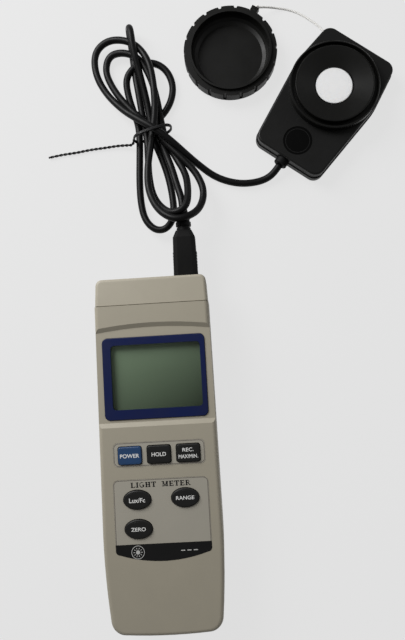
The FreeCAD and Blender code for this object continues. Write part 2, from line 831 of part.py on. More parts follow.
def make_board():
    long = S["board_head"] - S["board_foot"]
    low = S["board_top"] - S["board_thick"]
    board = block(0, S["board_foot"] + long / 2, low, S["board_width"], long, S["board_thick"])
    holes = [rod(side * STANDOFF_X, y, low - 1, BOARD_SCREW_RADIUS + 0.2, 4) for side, y in STANDOFFS]
    node(cut(board, *holes), "main_board")

    screws = []
    for side, y in STANDOFFS:
        x = side * STANDOFF_X
        head = rod(x, y, low - 1.4, 2.0, 1.4)
        screws.append(fuse(head, rod(x, y, low - 0.2, BOARD_SCREW_RADIUS, 5.4)))
    node(group(*screws), "board_screws")

    chip_drop = 1.8
    chips = [
        block(-2, 40, low - chip_drop, 16, 16, chip_drop),
        block(14, 22, low - 1.4, 7, 10, 1.4),
        block(-16, 18, low - 1.4, 6, 9, 1.4),
        block(10, -12, low - 1.4, 5, 6, 1.4),
        rod(-12, -18, low - 5.0, 6.0, 5.0),
        rod(14, 52, low - 6.5, 3.2, 6.5),
    ]
    node(group(*chips), "board_parts")

    switches = []
    for _, _, x, y in key_points():
        base = block(x, y, S["board_top"], SWITCH_BODY, SWITCH_BODY, SWITCH_HEIGHT)
        switches.append(fuse(base, rod(x, y, S["board_top"] + SWITCH_HEIGHT - 0.2, 1.7, 0.7)))
    node(group(*switches), "key_switches")


def make_keys():
    """Each key: a cap through the face, a lip under it and a nub over its switch."""
    for name, kind, x, y in key_points():
        lip_top = ceiling_height - S["gap"]
        lip_low = lip_top - S["key_flange"]
        top = S["case_height"] + S["key_proud"]
        cap = rounded(key_shape(kind, x, y, lip_low, top - lip_low), 0.7, level_at(top))
        lip = key_shape(kind, x, y, lip_low, S["key_flange"], S["key_lip"])
        switch_top = S["board_top"] + SWITCH_HEIGHT + 0.5
        nub_low = switch_top + S["key_travel"] + 0.2
        nub = rod(x, y, nub_low, 2.0, lip_low - nub_low + 0.2)
        node(fuse(cap, lip, nub), name)


# ---------------------------------------------------------------- battery and its cover

BATTERY_GAP = 0.5


def make_battery():
    low = S["door_thick"] + BATTERY_GAP
    head = S["battery_foot"] + S["battery_length"]
    middle = S["battery_foot"] + S["battery_length"] / 2
    axis_z = low + S["battery_height"] / 2
    case = rounded(block(0, middle, low, S["battery_width"], S["battery_length"], S["battery_height"]),
                   1.6, lambda e: e.BoundBox.YLength > 10)
    stud = 6.35
    studs = [rod(side * stud, head - 0.2, axis_z, radius, 2.7, "Y")
             for side, radius in ((-1, 3.6), (1, 2.7))]
    node(fuse(case, *studs), "battery")

    snap_thick = 2.4
    plate = block(0, head + 0.3 + snap_thick / 2, axis_z - 5.5, 22, snap_thick, 11)
    clear = [rod(side * stud, head - 1, axis_z, radius + 0.15, 6, "Y")
             for side, radius in ((-1, 3.6), (1, 2.7))]
    node(cut(plate, *clear), "battery_snap")

    pad_low = low + S["battery_height"]
    node(block(0, middle, pad_low, 20, 30, ceiling_height - pad_low), "battery_foam")


HOOK_X = 9.0
HOOK_WIDTH = 7.0
HOOK_LOW = 1.1
HOOK_THICK = 0.8
HOOK_REACH = 1.5
HOOK_ROOT = 1.0


def make_battery_cover():
    """Flat cover hooked under the shell at one end and screwed at the other."""
    long = S["door_head"] - S["door_foot"]
    y = S["door_foot"] + long / 2
    plate = pad_block(0, y, 0, S["door_width"], long, S["door_thick"], 1.0)
    parts = [plate]
    hook_y = S["door_foot"] + (HOOK_ROOT - HOOK_REACH) / 2
    for side in (-1, 1):
        parts.append(block(side * HOOK_X, hook_y, HOOK_LOW, HOOK_WIDTH, HOOK_ROOT + HOOK_REACH, HOOK_THICK))
    for n in range(5):
        # thumb ribs near the screw end
        parts.append(block(0, S["door_head"] - 14 - 1.6 * n, 0, 12, 0.7, 0.25))
    solid = fuse(*parts)
    tools = [
        rod(0, S["door_screw_y"], -1, 2.7, 2.2),
        rod(0, S["door_screw_y"], -1, 1.5, 5),
    ]
    for n in range(5):
        tools.append(block(0, S["door_head"] - 14.8 - 1.6 * n, -1, 12, 0.8, 1.5))
    node(cut(solid, *tools), "battery_cover")
    head = rod(0, S["door_screw_y"], 0.3, 2.4, 0.9)
    shank = rod(0, S["door_screw_y"], 1.1, 0.8, SCREW_BOSS_TOP - 1.3)
    cross = [block(0, S["door_screw_y"], -0.2, 2.8, 0.6, 1.0),
             block(0, S["door_screw_y"], -0.2, 0.6, 2.8, 1.0)]
    node(cut(fuse(head, shank), *cross), "cover_screw")


# ---------------------------------------------------------------- stand, nut, screws

PIVOT_Z = 1.5


def make_stand():
    long = S["stand_hinge_y"] - S["stand_foot"]
    y = S["stand_foot"] + long / 2
    low = as_size(PIVOT_Z) - S["stand_thick"] / 2
    plate = block(0, y, low, S["stand_width"], long, S["stand_thick"])
    knuckle = rod(-S["stand_width"] / 2, S["stand_hinge_y"], PIVOT_Z, S["stand_thick"] / 2,
                  S["stand_width"], "X")
    pins = rod(-(S["stand_width"] / 2 + 1.6), S["stand_hinge_y"], PIVOT_Z, S["pin_radius"],
               S["stand_width"] + 3.2, "X")
    solid = fuse(plate, knuckle, pins)
    window_long = long - 24
    window = pad_block(0, y - 2, low - 1, S["stand_width"] - 16, window_long, S["stand_thick"] + 2, 3.0)
    node(cut(solid, window), "stand")


def make_tripod_nut():
    nut = turned("tripod_nut_body", [
        (S["tripod_radius"], 0),
        (4.55, 0),
        (4.55, S["tripod_depth"]),
        (S["tripod_radius"], S["tripod_depth"]),
    ])
    node(nut, "tripod_nut")


def make_case_screws():
    screws = []
    for x, y in screw_points():
        head = rod(x, y, 1.4, 2.6, 2.1)
        shank = rod(x, y, 3.3, 1.45, S["split_height"] + 6.0 - 3.3)
        bars = [block(x, y, 0.9, 3.0, 0.7, 1.2), block(x, y, 0.9, 0.7, 3.0, 1.2)]
        screws.append(cut(fuse(head, shank), *bars))
    node(group(*screws), "case_screws")


# ---------------------------------------------------------------- socket and plug

PIN_RING = 2.3
PIN_RADIUS = 0.55
PLUG_START = 0.3
SOCKET_PLAY = 0.25


def ring_places():
    """Four pins on a circle round the plug's axis."""
    return [
        (S["plug_x"] + PIN_RING * math.cos(math.radians(angle)),
         S["plug_z"] + PIN_RING * math.sin(math.radians(angle)))
        for angle in (45, 135, 225, 315)
    ]


def make_socket():
    """A flanged tube set in the end cap, and a core with four pin holes standing in it."""
    x, z = S["plug_x"], S["plug_z"]
    end = S["case_head"]
    body_long = 13.0
    bore = S["barrel_radius"] + SOCKET_PLAY
    shell = fuse(
        rod(x, end - body_long, z, 7.0, body_long - 0.2, "Y"),
        rod(x, end - S["wall"] - 2.0, z, 7.8, 1.9, "Y"),
    )
    node(cut(shell, rod(x, end - body_long - 1, z, bore, body_long + 2, "Y")), "socket_shell")

    reach = S["barrel_reach"] + 0.8
    pillar = S["barrel_radius"] - S["barrel_wall"] - SOCKET_PLAY
    core = fuse(
        rod(x, end - body_long, z, bore, body_long - reach, "Y"),
        rod(x, end - body_long, z, pillar, body_long - 0.2, "Y"),
    )
    holes = [rod(px, end - reach, pz, PIN_RADIUS + 0.15, reach + 1, "Y") for px, pz in ring_places()]
    node(cut(core, *holes), "socket_core")


def grip_section(y, share):
    """Eight-sided section of the plug's grip."""
    half = float(S["plug_width"]) / 2 * share
    tall = float(S["plug_height"]) / 2 * share
    flat = 0.62
    x0, z0 = float(S["plug_x"]), float(S["plug_z"])
    ring = []
    corners = ((flat, 1), (1, flat), (1, -flat), (flat, -1),
               (-flat, -1), (-1, -flat), (-1, flat), (-flat, 1))
    for dx, dz in corners:
        ring.append(Vector(x0 + dx * half, y, z0 + dz * tall))
    return Part.makePolygon(ring + ring[:1])


def make_plug():
    x, z = S["plug_x"], S["plug_z"]
    start = S["case_head"] + PLUG_START
    seat = 4.0
    grip = doc.addObject("Part::Feature", "grip")
    first = float(start)
    last = first + float(S["plug_length"])
    end = last + float(S["shoulder_length"])
    body_part = Part.makeLoft([grip_section(first, 1.0), grip_section(last, 0.92)], True, True)
    shoulder = Part.makeLoft([grip_section(last, 0.92), grip_section(end, 0.66)], True, True)
    grip.Shape = body_part.fuse(shoulder).removeSplitter()
    bore = rod(x, start - 1, z, S["barrel_radius"], seat + 1, "Y")
    through = rod(x, start, z, 1.6, S["plug_length"] + 8, "Y")
    node(cut(grip, bore, through), "plug_housing")

    barrel_long = S["barrel_reach"] + PLUG_START + seat
    barrel = cut(
        rod(x, S["case_head"] - S["barrel_reach"], z, S["barrel_radius"], barrel_long, "Y"),
        rod(x, S["case_head"] - S["barrel_reach"] - 1, z, S["barrel_radius"] - S["barrel_wall"],
            barrel_long + 2, "Y"),
    )
    node(barrel, "plug_barrel")

    insert = rod(x, start, z, S["barrel_radius"] - S["barrel_wall"], seat, "Y")
    holes = [rod(px, start - 1, pz, PIN_RADIUS, seat + 2, "Y") for px, pz in ring_places()]
    node(cut(insert, *holes), "plug_insert")
    pins = [rod(px, S["case_head"] - S["barrel_reach"] + 0.6, pz, PIN_RADIUS,
                S["barrel_reach"] - 0.6 + PLUG_START + seat, "Y") for px, pz in ring_places()]
    node(group(*pins), "plug_pins")

    # strain relief: two collars, then a taper onto the cord
    length = S["relief_length"]
    relief = turned("plug_relief_body", [
        (0, 0),
        (4.1, 0),
        (4.1, 1.6),
        (3.6, 1.8),
        (3.6, 2.6),
        (4.4, 2.8),
        (4.4, 5.0),
        (3.7, 5.4),
        (3.7, 6.2),
        (3.9, 6.4),
        (2.6, length),
        (0, length),
    ])
    relief.Placement = Placement(Vector(), TURNS["Y"])
    place(relief, x, start + S["plug_length"] + S["shoulder_length"], z)
    node(relief, "plug_relief")


# ---------------------------------------------------------------- sensor head

def on_head(item):
    """Moves a part from the sensor head's own frame to its place beside the meter."""
    holder = group(item)
    holder.Placement = Placement(Vector(), Rotation(Vector(0, 0, 1), -float(S["sensor_turn"])))
    tie(holder, ".Placement.Base.x", S["sensor_x"])
    tie(holder, ".Placement.Base.y", S["sensor_y"])
    return holder


def head_points(inset):
    """Right half of the head's outline, moved in by an inset."""
    inset = as_size(inset)
    return mirrored([
        (S["head_far_width"] / 2 - inset, S["head_far"] - inset),
        (S["head_width"] / 2 - inset, S["head_widest"]),
        (S["head_near_width"] / 2 - inset, inset - S["head_near"]),
    ])


def head_hollow(inset, cut_corner=3.4):
    """The head's outline moved in by a wall, with its corners cut off."""
    far_x, far_y = S["head_far_width"] / 2 - inset, S["head_far"] - inset
    near_x, near_y = S["head_near_width"] / 2 - inset, inset - S["head_near"]
    return mirrored([
        (far_x - cut_corner, far_y),
        (far_x, far_y - cut_corner),
        (S["head_width"] / 2 - inset, S["head_widest"]),
        (near_x, near_y + cut_corner),
        (near_x - cut_corner, near_y),
    ])


HEAD_SCREWS = ((-18.6, 22.6), (18.6, 22.6), (-17.0, -45.6), (17.0, -45.6))
HEAD_BOSS = 2.8
SENSOR_BOARD = 3.2


def head_blank(name, start, height, inset, face, radius):
    owner = body(name)
    feature = pad(owner, outline(owner, head_points(inset), height=start), height)
    far, near_end = float(S["head_far"]), float(S["head_near"])
    ends = lambda e: upright(e) and (e.BoundBox.YMin > far - 3 or e.BoundBox.YMin < 3 - near_end)
    middle = lambda e: upright(e) and abs(e.BoundBox.YMin - float(S["head_widest"])) < 1
    feature = soften(owner, feature, S["head_corner"], ends)
    feature = soften(owner, feature, 25.0, middle)
    soften(owner, feature, radius, level_at(face))
    return owner


def gland_place():
    return S["gland_shift"], -(S["head_near"] + S["gland_reach"])


def make_sensor_shells():
    split, high, wall = S["head_split"], S["head_height"], S["head_wall"]
    gland_x, gland_y = gland_place()
    notch = rod(gland_x, gland_y - 1, split, S["gland_radius"] + 0.1, 11, "Y")

    lower = head_blank("head_lower", 0.0, split, 0.0, 0.0, 1.4)
    pocket(lower, outline(lower, head_hollow(as_size(0.0) + wall), height=split), split - wall)
    posts = [rod(x, y, wall - 0.4, HEAD_BOSS, split - wall + 0.4) for x, y in HEAD_SCREWS]
    posts += [rod(x, y, wall - 0.4, 2.0, SENSOR_BOARD - wall + 0.4)
              for x in (-13, 13) for y in (-11, 11)]
    string_way = Rotation(Vector(0, 0, 1), Vector(0.916, -0.397, 0))
    string_hole = rod(-S["head_far_width"] / 2 - 1.6, S["head_far"] - 0.9, 3.0,
                      S["string_radius"] + 0.2, 6, string_way)
    holes = [notch, string_hole]
    for x, y in HEAD_SCREWS:
        holes.append(rod(x, y, -1, 1.3, split + 2))
        holes.append(rod(x, y, -1, 2.4, 3.0))
    node(on_head(cut(fuse(lower, *posts), *holes)), "sensor_bottom")

    step = S["head_step"]
    upper = head_blank("head_upper", split, high - split, step, high, 1.2)
    pocket(upper, outline(upper, head_hollow(step + wall), height=split), high - split - wall, upwards=True)
    posts = [rod(x, y, split, HEAD_BOSS, high - split - wall + 0.4) for x, y in HEAD_SCREWS]
    holes = [
        rod(gland_x, gland_y - 1, split, S["gland_radius"] + 0.1, 11, "Y"),
        rod(0, 0, split, S["diffuser_radius"] + 0.2, high),
        rod(0, S["badge_y"], high - 0.7, S["badge_radius"] + 0.1, 2),
    ]
    holes += [rod(x, y, split - 1, 1.1, 4.6) for x, y in HEAD_SCREWS]
    node(on_head(cut(fuse(upper, *posts), *holes)), "sensor_top")

    screws = [fuse(rod(x, y, 0.3, 2.2, 1.6), rod(x, y, 1.8, 1.05, 6.4)) for x, y in HEAD_SCREWS]
    node(on_head(group(*screws)), "sensor_screws")
    badge = rod(0, S["badge_y"], high - 0.7, S["badge_radius"], 0.5)
    node(on_head(badge), "sensor_badge")

    bush = fuse(
        rod(gland_x, gland_y, split, S["gland_radius"], S["gland_reach"] + wall + 2.0, "Y"),
        rod(gland_x, -S["head_near"] + step + wall + 0.3, split, S["gland_radius"] - 0.4, 3.0, "Y"),
    )
    node(on_head(rounded(bush, 0.9, lambda e: e.BoundBox.YLength < 1e-4
                         and e.BoundBox.YMin < float(gland_y) + 0.1)), "cable_gland")


def make_collar():
    """Ring, groove, inner rim and shallow dish round the diffuser."""
    face = S["head_height"]
    ring_top = face + S["collar_height"]
    rim_top = face + S["rim_height"]
    groove_outer = S["rim_radius"] + S["groove_width"]
    collar = turned("collar_body", [
        (S["diffuser_radius"] + 0.15, face),
        (S["collar_radius"], face),
        (S["collar_radius"], ring_top - 0.5),
        (S["collar_radius"] - 0.4, ring_top),
        (groove_outer, ring_top),
        (groove_outer, ring_top - S["groove_depth"]),
        (S["rim_radius"], ring_top - S["groove_depth"]),
        (S["rim_radius"], rim_top - 0.3),
        (S["rim_radius"] - 0.3, rim_top),
        (S["rim_radius"] - 0.9, rim_top),
        (S["diffuser_radius"] + 0.75, rim_top - S["dish_depth"]),
        (S["diffuser_radius"] + 0.15, rim_top - S["dish_depth"]),
    ])
    node(on_head(collar), "sensor_collar")


def make_optics():
    """Board, photodiode, colour filter and opal diffuser, stacked."""
    board_thick = 1.6
    board = block(0, 0, SENSOR_BOARD, 34, 30, board_thick)
    node(on_head(board), "sensor_board")
    diode_low = SENSOR_BOARD + board_thick
    node(on_head(rod(0, 0, diode_low, 5.9, 2.2)), "photodiode")
    filter_low = diode_low + 2.2
    node(on_head(rod(0, 0, filter_low, 8.0, 1.0)), "sensor_filter")
    flange_low = filter_low + 1.0
    under_face = S["head_height"] - S["head_wall"]
    top = S["head_height"] + S["rim_height"] - S["dish_depth"] - 0.2
    disc = fuse(
        rod(0, 0, flange_low, S["diffuser_radius"] + 1.6, under_face - 0.1 - flange_low),
        rod(0, 0, flange_low, S["diffuser_radius"], top - flange_low),
    )
    node(on_head(rounded(disc, 0.5, level_at(top))), "sensor_diffuser")


# ---------------------------------------------------------------- cap and string

LUG_OUT = 3.2


def make_cap():
    lip_outer = S["rim_radius"] + S["groove_width"] - S["cap_fit"]
    lip_inner = S["rim_radius"] + 0.6
    skirt, floor = S["cap_skirt"], S["cap_floor"]
    top = skirt + S["cap_lip"]
    owner = turned("cap_body", [
        (0, 0),
        (S["cap_radius"] - 2.2, 0),
        (S["cap_radius"] - 0.8, 0.5),
        (S["cap_radius"], 2.0),
        (S["cap_radius"], skirt),
        (lip_outer, skirt),
        (lip_outer, top),
        (lip_inner, top),
        (lip_inner, floor + 4.6),
        (lip_inner - 0.5, floor + 2.8),
        (lip_inner - 1.8, floor + 1.1),
        (S["cap_bowl_radius"], floor),
        (0, floor),
    ])
    # grip notches: one pocket up the skirt, repeated round the cap
    half = 1.0
    depth = 1.2
    outer = S["cap_radius"]
    notch = outline(owner, [
        (outer + 1, as_size(-half) * 1.5),
        (outer + 1, as_size(half) * 1.5),
        (outer - depth, as_size(half) * 0.6),
        (outer - depth, as_size(-half) * 0.6),
    ], height=skirt + 0.5)
    groove = pocket(owner, notch, skirt - 0.6)
    pattern = owner.newObject("PartDesign::PolarPattern", "notches")
    pattern.Originals = [groove]
    pattern.Axis = (notch, ["N_Axis"])
    pattern.Angle = 360.0
    pattern.Occurrences = int(float(S["cap_notches"]))
    owner.Tip = pattern

    angle = float(S["lug_turn"])
    lug = doc.addObject("Part::Feature", "lug")
    reach = float(outer) + LUG_OUT
    start = float(outer) - 1.6
    low = float(skirt) - 3.4
    shape = Part.makeBox(reach - start, 4.6, 3.4, Vector(start, -2.3, low))
    hole = Part.makeCylinder(0.8, 6, Vector(reach - 1.7, 0, low - 1))
    shape = shape.cut(hole)
    shape.rotate(Vector(0, 0, 0), Vector(0, 0, 1), angle)
    lug.Shape = shape
    cap = place(fuse(owner, lug), S["cap_x"], S["cap_y"], 0)
    node(cap, "sensor_cap")


def tube(points, radius, name):
    """A round tube along straight runs joined by tangent arcs as large as the runs allow."""
    points = [Vector(*p) for p in points]
    edges = []
    start = points[0]
    radii = []
    total = 0.0
    for before, corner, after in zip(points, points[1:], points[2:]):
        way_in, way_out = corner - before, after - corner
        turn = way_in.getAngle(way_out)
        shorter = min(way_in.Length, way_out.Length)
        trim = 0.45 * shorter
        radii.append(trim / math.tan(turn / 2))
        way_in.normalize()
        way_out.normalize()
        leave, join = corner - way_in * trim, corner + way_out * trim
        inward = way_out - way_in
        inward.normalize()
        sagitta = radii[-1] * (1 / math.cos(turn / 2) - 1)
        edges.append(Part.LineSegment(start, leave).toShape())
        edges.append(Part.Arc(leave, corner + inward * sagitta, join).toShape())
        total += (leave - start).Length + radii[-1] * turn
        start = join
    edges.append(Part.LineSegment(start, points[-1]).toShape())
    total += (points[-1] - start).Length
    path = Part.Wire(edges)
    first = points[1] - points[0]
    ring = Part.Wire([Part.Circle(points[0], first, radius).toShape()])
    solid = path.makePipeShell([ring], True, True)
    tightest = " ".join(f"{r:.1f}" for r in radii)
    print(f"{name}: length {total:.1f}, volume {solid.Volume:.1f}, bend radii {tightest}")
    item = doc.addObject("Part::Feature", name)
    item.Shape = solid
    return item


def gland_mouth():
    """Where the cord enters the sensor's gland."""
    turn = math.radians(float(S["sensor_turn"]))
    x, y = (float(v) for v in gland_place())
    return (
        float(S["sensor_x"]) + x * math.cos(turn) + y * math.sin(turn),
        float(S["sensor_y"]) - x * math.sin(turn) + y * math.cos(turn),
        float(S["head_split"]),
    )


LEAD = [
    (24.0, 174.0, 6.0),
    (31.6, 167.4, 3.4),
    (39.0, 161.6, 2.1),
    (46.8, 157.8, 2.1),
    (55.0, 155.8, 2.1),
    (62.9, 155.8, 2.1),
    (69.8, 157.2, 2.4),
    (75.2, 160.3, 3.7),
]

STRING = [
    (71.0, 263.1, 6.6),
    (76.5, 264.4, 4.4),
    (83.0, 265.0, 1.6),
    (90.0, 264.2, 0.6),
    (96.5, 261.6, 0.6),
    (102.6, 257.0, 1.0),
    (109.3, 250.5, 2.6),
    (112.9, 244.1, 3.0),
]

# outlines of the two lobes of the tied-up hank
UPPER_LOBE = [
    (-9, 192), (-17, 204), (-27, 218), (-32, 231), (-30, 243), (-21, 250), (-12, 252), (-8, 258),
    (-3, 257), (1, 246), (9, 239), (17, 230), (19, 216), (15, 201), (12, 191),
]
LOWER_LOBE = [
    (-8, 192), (-9, 176), (-10, 158), (-9, 144), (-5, 133), (4, 127), (14, 128), (24, 130),
    (32, 135), (36, 146), (34, 158), (28, 166), (21, 173), (14, 184), (11, 192),
]
HANK_WAIST_Y = 188.0
HANK_HEIGHT = 14.0
HANK_SIDE = [(120, 0.0), (198, 0.0), (198, 13.0), (160, 16.0), (142, 22.6), (120, 22.6)]


def lobe(points, height):
    curve = Part.BSplineCurve()
    curve.interpolate([Vector(x, y, 0) for x, y in points], True)
    return Part.Face(Part.Wire([curve.toShape()])).extrude(Vector(0, 0, height))


GRIP_CLEAR_OF_HANK = 126.5


def make_cord():
    """The tied-up hank as one closed solid, and the free lead to the sensor as a tube."""
    side = [Vector(-60, y, z) for y, z in HANK_SIDE]
    wedge = Part.Face(Part.makePolygon(side + side[:1])).extrude(Vector(160, 0, 0))
    lower = lobe(LOWER_LOBE, 30).common(wedge)
    hank = lobe(UPPER_LOBE, HANK_HEIGHT).fuse(lower).removeSplitter()

    # tunnel for the strain relief, which ends face to face with the hank
    relief_start = S["case_head"] + PLUG_START + S["plug_length"] + S["shoulder_length"]
    relief_end = float(relief_start + S["relief_length"])
    axis = Vector(float(S["plug_x"]), 118, float(S["plug_z"]))
    hank = hank.cut(Part.makeCylinder(5.4, relief_end - 118, axis, Vector(0, 1, 0)))
    # and room for the grip, whose shoulder it meets
    grip_end = float(relief_start)
    room_wide, room_high = float(S["plug_width"]) + 1, float(S["plug_height"]) + 1
    if grip_end > GRIP_CLEAR_OF_HANK:
        corner = Vector(float(S["plug_x"]) - room_wide / 2, 90, float(S["plug_z"]) - room_high / 2)
        hank = hank.cut(Part.makeBox(room_wide, grip_end - 90, room_high, corner))

    # flat shoulder square to the lead, which starts there
    first, second = Vector(*LEAD[0]), Vector(*LEAD[1])
    way = second - first
    way.z = 0
    way.normalize()
    shoulder = Part.makeBox(7, 5.6, 8)
    shoulder.Placement = Placement(first - way * 7 + Vector(0, 0, -4) - Vector(-way.y, way.x, 0) * 2.8,
                                   Rotation(Vector(1, 0, 0), way))
    away = Part.makeBox(14, 12, 40)
    away.Placement = Placement(Vector(first.x, first.y, -1) - Vector(-way.y, way.x, 0) * 3.2,
                               Rotation(Vector(1, 0, 0), way))
    hank = hank.fuse(shoulder).cut(away).removeSplitter()
    item = doc.addObject("Part::Feature", "hank")
    item.Shape = hank
    node(item, "cord_hank")

    node(tube(LEAD + [gland_mouth()], float(S["cord_radius"]), "lead"), "cord_lead")


def make_string():
    radius = float(S["string_radius"])
    node(tube(STRING, radius, "string"), "cap_string")


def make_twist_tie():
    """Wire loop over the hank's waist, with its twisted tail laid out to one side."""
    low = -9.6
    wide = 24.4
    high = HANK_HEIGHT + 1.3
    y = HANK_WAIST_Y + 2
    loop = Part.makeBox(wide, 1.2, high, Vector(low, y, 0))
    loop = loop.cut(Part.makeBox(wide - 2.2, 3, high - 1.1, Vector(low + 1.1, y - 1, -0.1)))
    knot = Part.makeSphere(1.5, Vector(low - 0.6, y + 0.6, 5))
    tail = [Vector(low - 0.6, y + 0.6, 5), Vector(-35.0, 183.6, 1.0), Vector(-62.0, 179.6, 0.7)]
    shape = loop.fuse(knot)
    for start, end in zip(tail, tail[1:]):
        run = end - start
        shape = shape.fuse(Part.makeCylinder(0.6, run.Length, start, run))
        shape = shape.fuse(Part.makeSphere(0.6, end))
    item = doc.addObject("Part::Feature", "tie")
    item.Shape = shape.removeSplitter()
    node(item, "twist_tie")


# ---------------------------------------------------------------- build, check and write

def main():
    make_front_shell()
    make_rear_shell()
    make_end_cap()
    make_labels()
    make_display()
    make_board()
    make_keys()
    make_battery()
    make_battery_cover()
    make_stand()
    make_tripod_nut()
    make_case_screws()
    make_socket()
    make_plug()
    make_sensor_shells()
    make_collar()
    make_optics()
    make_cap()
    make_cord()
    make_string()
    make_twist_tie()
    doc.recompute()

    failed = [item for item in doc.Objects if "Invalid" in item.State or "Error" in item.State]
    if failed:
        raise RuntimeError("failed: " + ", ".join(f"{item.Name} ({item.Label})" for item in failed))
    os.makedirs("parts", exist_ok=True)
    for item in NODES:
        shape = item.Shape
        if shape.isNull() or not shape.isValid() or not shape.Solids:
            raise RuntimeError(f"{item.Label} has no valid solid")
    for item in NODES:
        item.Shape.exportStep(f"parts/{item.Label}.step")
        print(f"{item.Label}: {len(item.Shape.Solids)} solid(s), {item.Shape.Volume:.0f} cubic mm")


main()
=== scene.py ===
"""Looks of a handheld light meter: its moulded case, display, keys, plug, tied-up cord and light sensor."""

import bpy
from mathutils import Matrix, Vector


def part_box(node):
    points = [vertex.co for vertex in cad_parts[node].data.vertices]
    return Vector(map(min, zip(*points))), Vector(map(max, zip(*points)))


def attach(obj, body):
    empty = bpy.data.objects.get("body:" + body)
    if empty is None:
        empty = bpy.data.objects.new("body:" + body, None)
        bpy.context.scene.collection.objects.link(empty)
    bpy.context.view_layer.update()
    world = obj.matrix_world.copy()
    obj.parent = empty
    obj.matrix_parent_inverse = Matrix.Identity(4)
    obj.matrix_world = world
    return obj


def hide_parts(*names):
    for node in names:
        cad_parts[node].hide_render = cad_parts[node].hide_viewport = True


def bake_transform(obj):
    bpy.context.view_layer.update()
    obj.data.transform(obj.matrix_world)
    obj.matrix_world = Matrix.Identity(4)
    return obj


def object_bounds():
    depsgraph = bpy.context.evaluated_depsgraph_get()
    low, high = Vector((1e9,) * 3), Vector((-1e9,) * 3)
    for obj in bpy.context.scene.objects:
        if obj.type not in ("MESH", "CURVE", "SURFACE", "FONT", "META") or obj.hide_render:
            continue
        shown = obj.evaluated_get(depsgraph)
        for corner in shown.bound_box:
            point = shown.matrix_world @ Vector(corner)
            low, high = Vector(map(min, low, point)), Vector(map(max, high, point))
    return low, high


bl_info = {
    "name": "Handheld Light Meter",
    "version": (1, 0, 0),
    "blender": (4, 5, 0),
    "location": "3D View > Sidebar > Light Meter",
    "description": "Finishes and soft pieces of a light meter with a corded sensor",
    "category": "Object",
}

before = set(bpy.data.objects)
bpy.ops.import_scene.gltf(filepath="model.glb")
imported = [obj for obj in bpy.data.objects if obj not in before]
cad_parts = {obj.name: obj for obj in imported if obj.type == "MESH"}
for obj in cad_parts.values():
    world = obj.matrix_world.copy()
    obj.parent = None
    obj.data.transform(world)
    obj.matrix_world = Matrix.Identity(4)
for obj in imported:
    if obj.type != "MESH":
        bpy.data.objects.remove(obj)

import math

import bmesh
import bpy
import numpy as np
from mathutils import Matrix, Vector

MM = 0.001
CAD_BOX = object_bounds()
FULL_TURN = 2 * math.pi


def middle(node):
    """Centre of a CAD node's box."""
    low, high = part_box(node)
    return (low + high) / 2


# ------------------------------------------------------------------ settings

def length_setting(label, about, default, low=0.0, high=1.0):
    return bpy.props.FloatProperty(name=label, description=about, default=default, min=low, max=high,
                                   subtype="DISTANCE", unit="LENGTH", precision=5)


def colour_setting(label, about, default):
    return bpy.props.FloatVectorProperty(name=label, description=about, default=default, size=3,
                                         min=0.0, max=1.0, subtype="COLOR")


class StageSettings(bpy.types.PropertyGroup):
    """Floor, lamps and camera."""

    floor_shade: bpy.props.FloatProperty(
        name="Floor shade", description="How pale the floor is", default=0.79, min=0, max=1)
    floor_reach: length_setting("Floor reach", "Half the side of the floor", 4.0, 0.5, 20)
    key_power: bpy.props.FloatProperty(
        name="Key lamp", description="Power of the large lamp beyond the sensor", default=4.9,
        min=0, max=100, unit="POWER")
    fill_power: bpy.props.FloatProperty(
        name="Fill lamp", description="Power of the soft lamp at the foot", default=0.35, min=0, max=100,
        unit="POWER")
    sky: bpy.props.FloatProperty(
        name="Sky", description="Strength of the light from all round", default=0.20, min=0, max=5)


class CaseSettings(bpy.types.PropertyGroup):
    """Finishes of the meter."""

    shell: colour_setting("Case", "Moulded case", (0.375, 0.342, 0.268))
    film: colour_setting("Key panel", "Printed film round the keys", (0.385, 0.362, 0.305))
    print_line: colour_setting("Print", "Printed lines and title", (0.115, 0.095, 0.082))
    bezel: colour_setting("Display frame", "Blue frame of the display", (0.003, 0.009, 0.062))
    # the display's light colour is a painted reflection towards its upper left
    glass_painted_reflection: colour_setting("Display, light", "Lighter side of the blank display", (0.265, 0.370, 0.240))
    glass_dark: colour_setting("Display, dark", "Darker side of the blank display", (0.046, 0.068, 0.040))
    power_key: colour_setting("Power key", "The power key and its printed top", (0.014, 0.052, 0.140))
    dark_key: colour_setting("Dark key", "The other keys", (0.010, 0.010, 0.0095))
    legend: colour_setting("Legends", "White lettering on keys", (0.80, 0.80, 0.78))
    print_thick: length_setting("Print thickness", "Ink above the film", 0.00003, 0, 0.001)


class CordSettings(bpy.types.PropertyGroup):
    """The sensor's cord, its tie and the cap's string."""

    radius: length_setting("Cord radius", "Half the cord's thickness", 0.0021, 0.0005, 0.01)
    jacket: colour_setting("Jacket", "Cord jacket", (0.0040, 0.0040, 0.0042))
    string_radius: length_setting("String radius", "Half the string's thickness", 0.00065, 0.0001, 0.003)
    string_colour: colour_setting("String", "Cap string", (0.88, 0.87, 0.84))
    tie_radius: length_setting("Tie radius", "Half the wire tie's thickness", 0.0006, 0.0001, 0.003)
    settle_steps: bpy.props.IntProperty(
        name="Settling steps", description="Rounds in which crossing strands are pushed apart",
        default=260, min=0, max=2000)


class SensorSettings(bpy.types.PropertyGroup):
    """Finishes of the sensor head and its cap."""

    shell: colour_setting("Shell", "Sensor shells", (0.0070, 0.0070, 0.0068))
    ring: colour_setting("Ring", "Ring and dish round the diffuser", (0.0045, 0.0045, 0.0040))
    diffuser: colour_setting("Diffuser", "Opal disc", (0.93, 0.93, 0.92))
    cap: colour_setting("Cap", "Sensor cap", (0.0050, 0.0050, 0.0045))


SETTINGS = {
    "meter_stage": StageSettings,
    "meter_case": CaseSettings,
    "meter_cord": CordSettings,
    "meter_sensor": SensorSettings,
}


# ------------------------------------------------------------------ shader building blocks

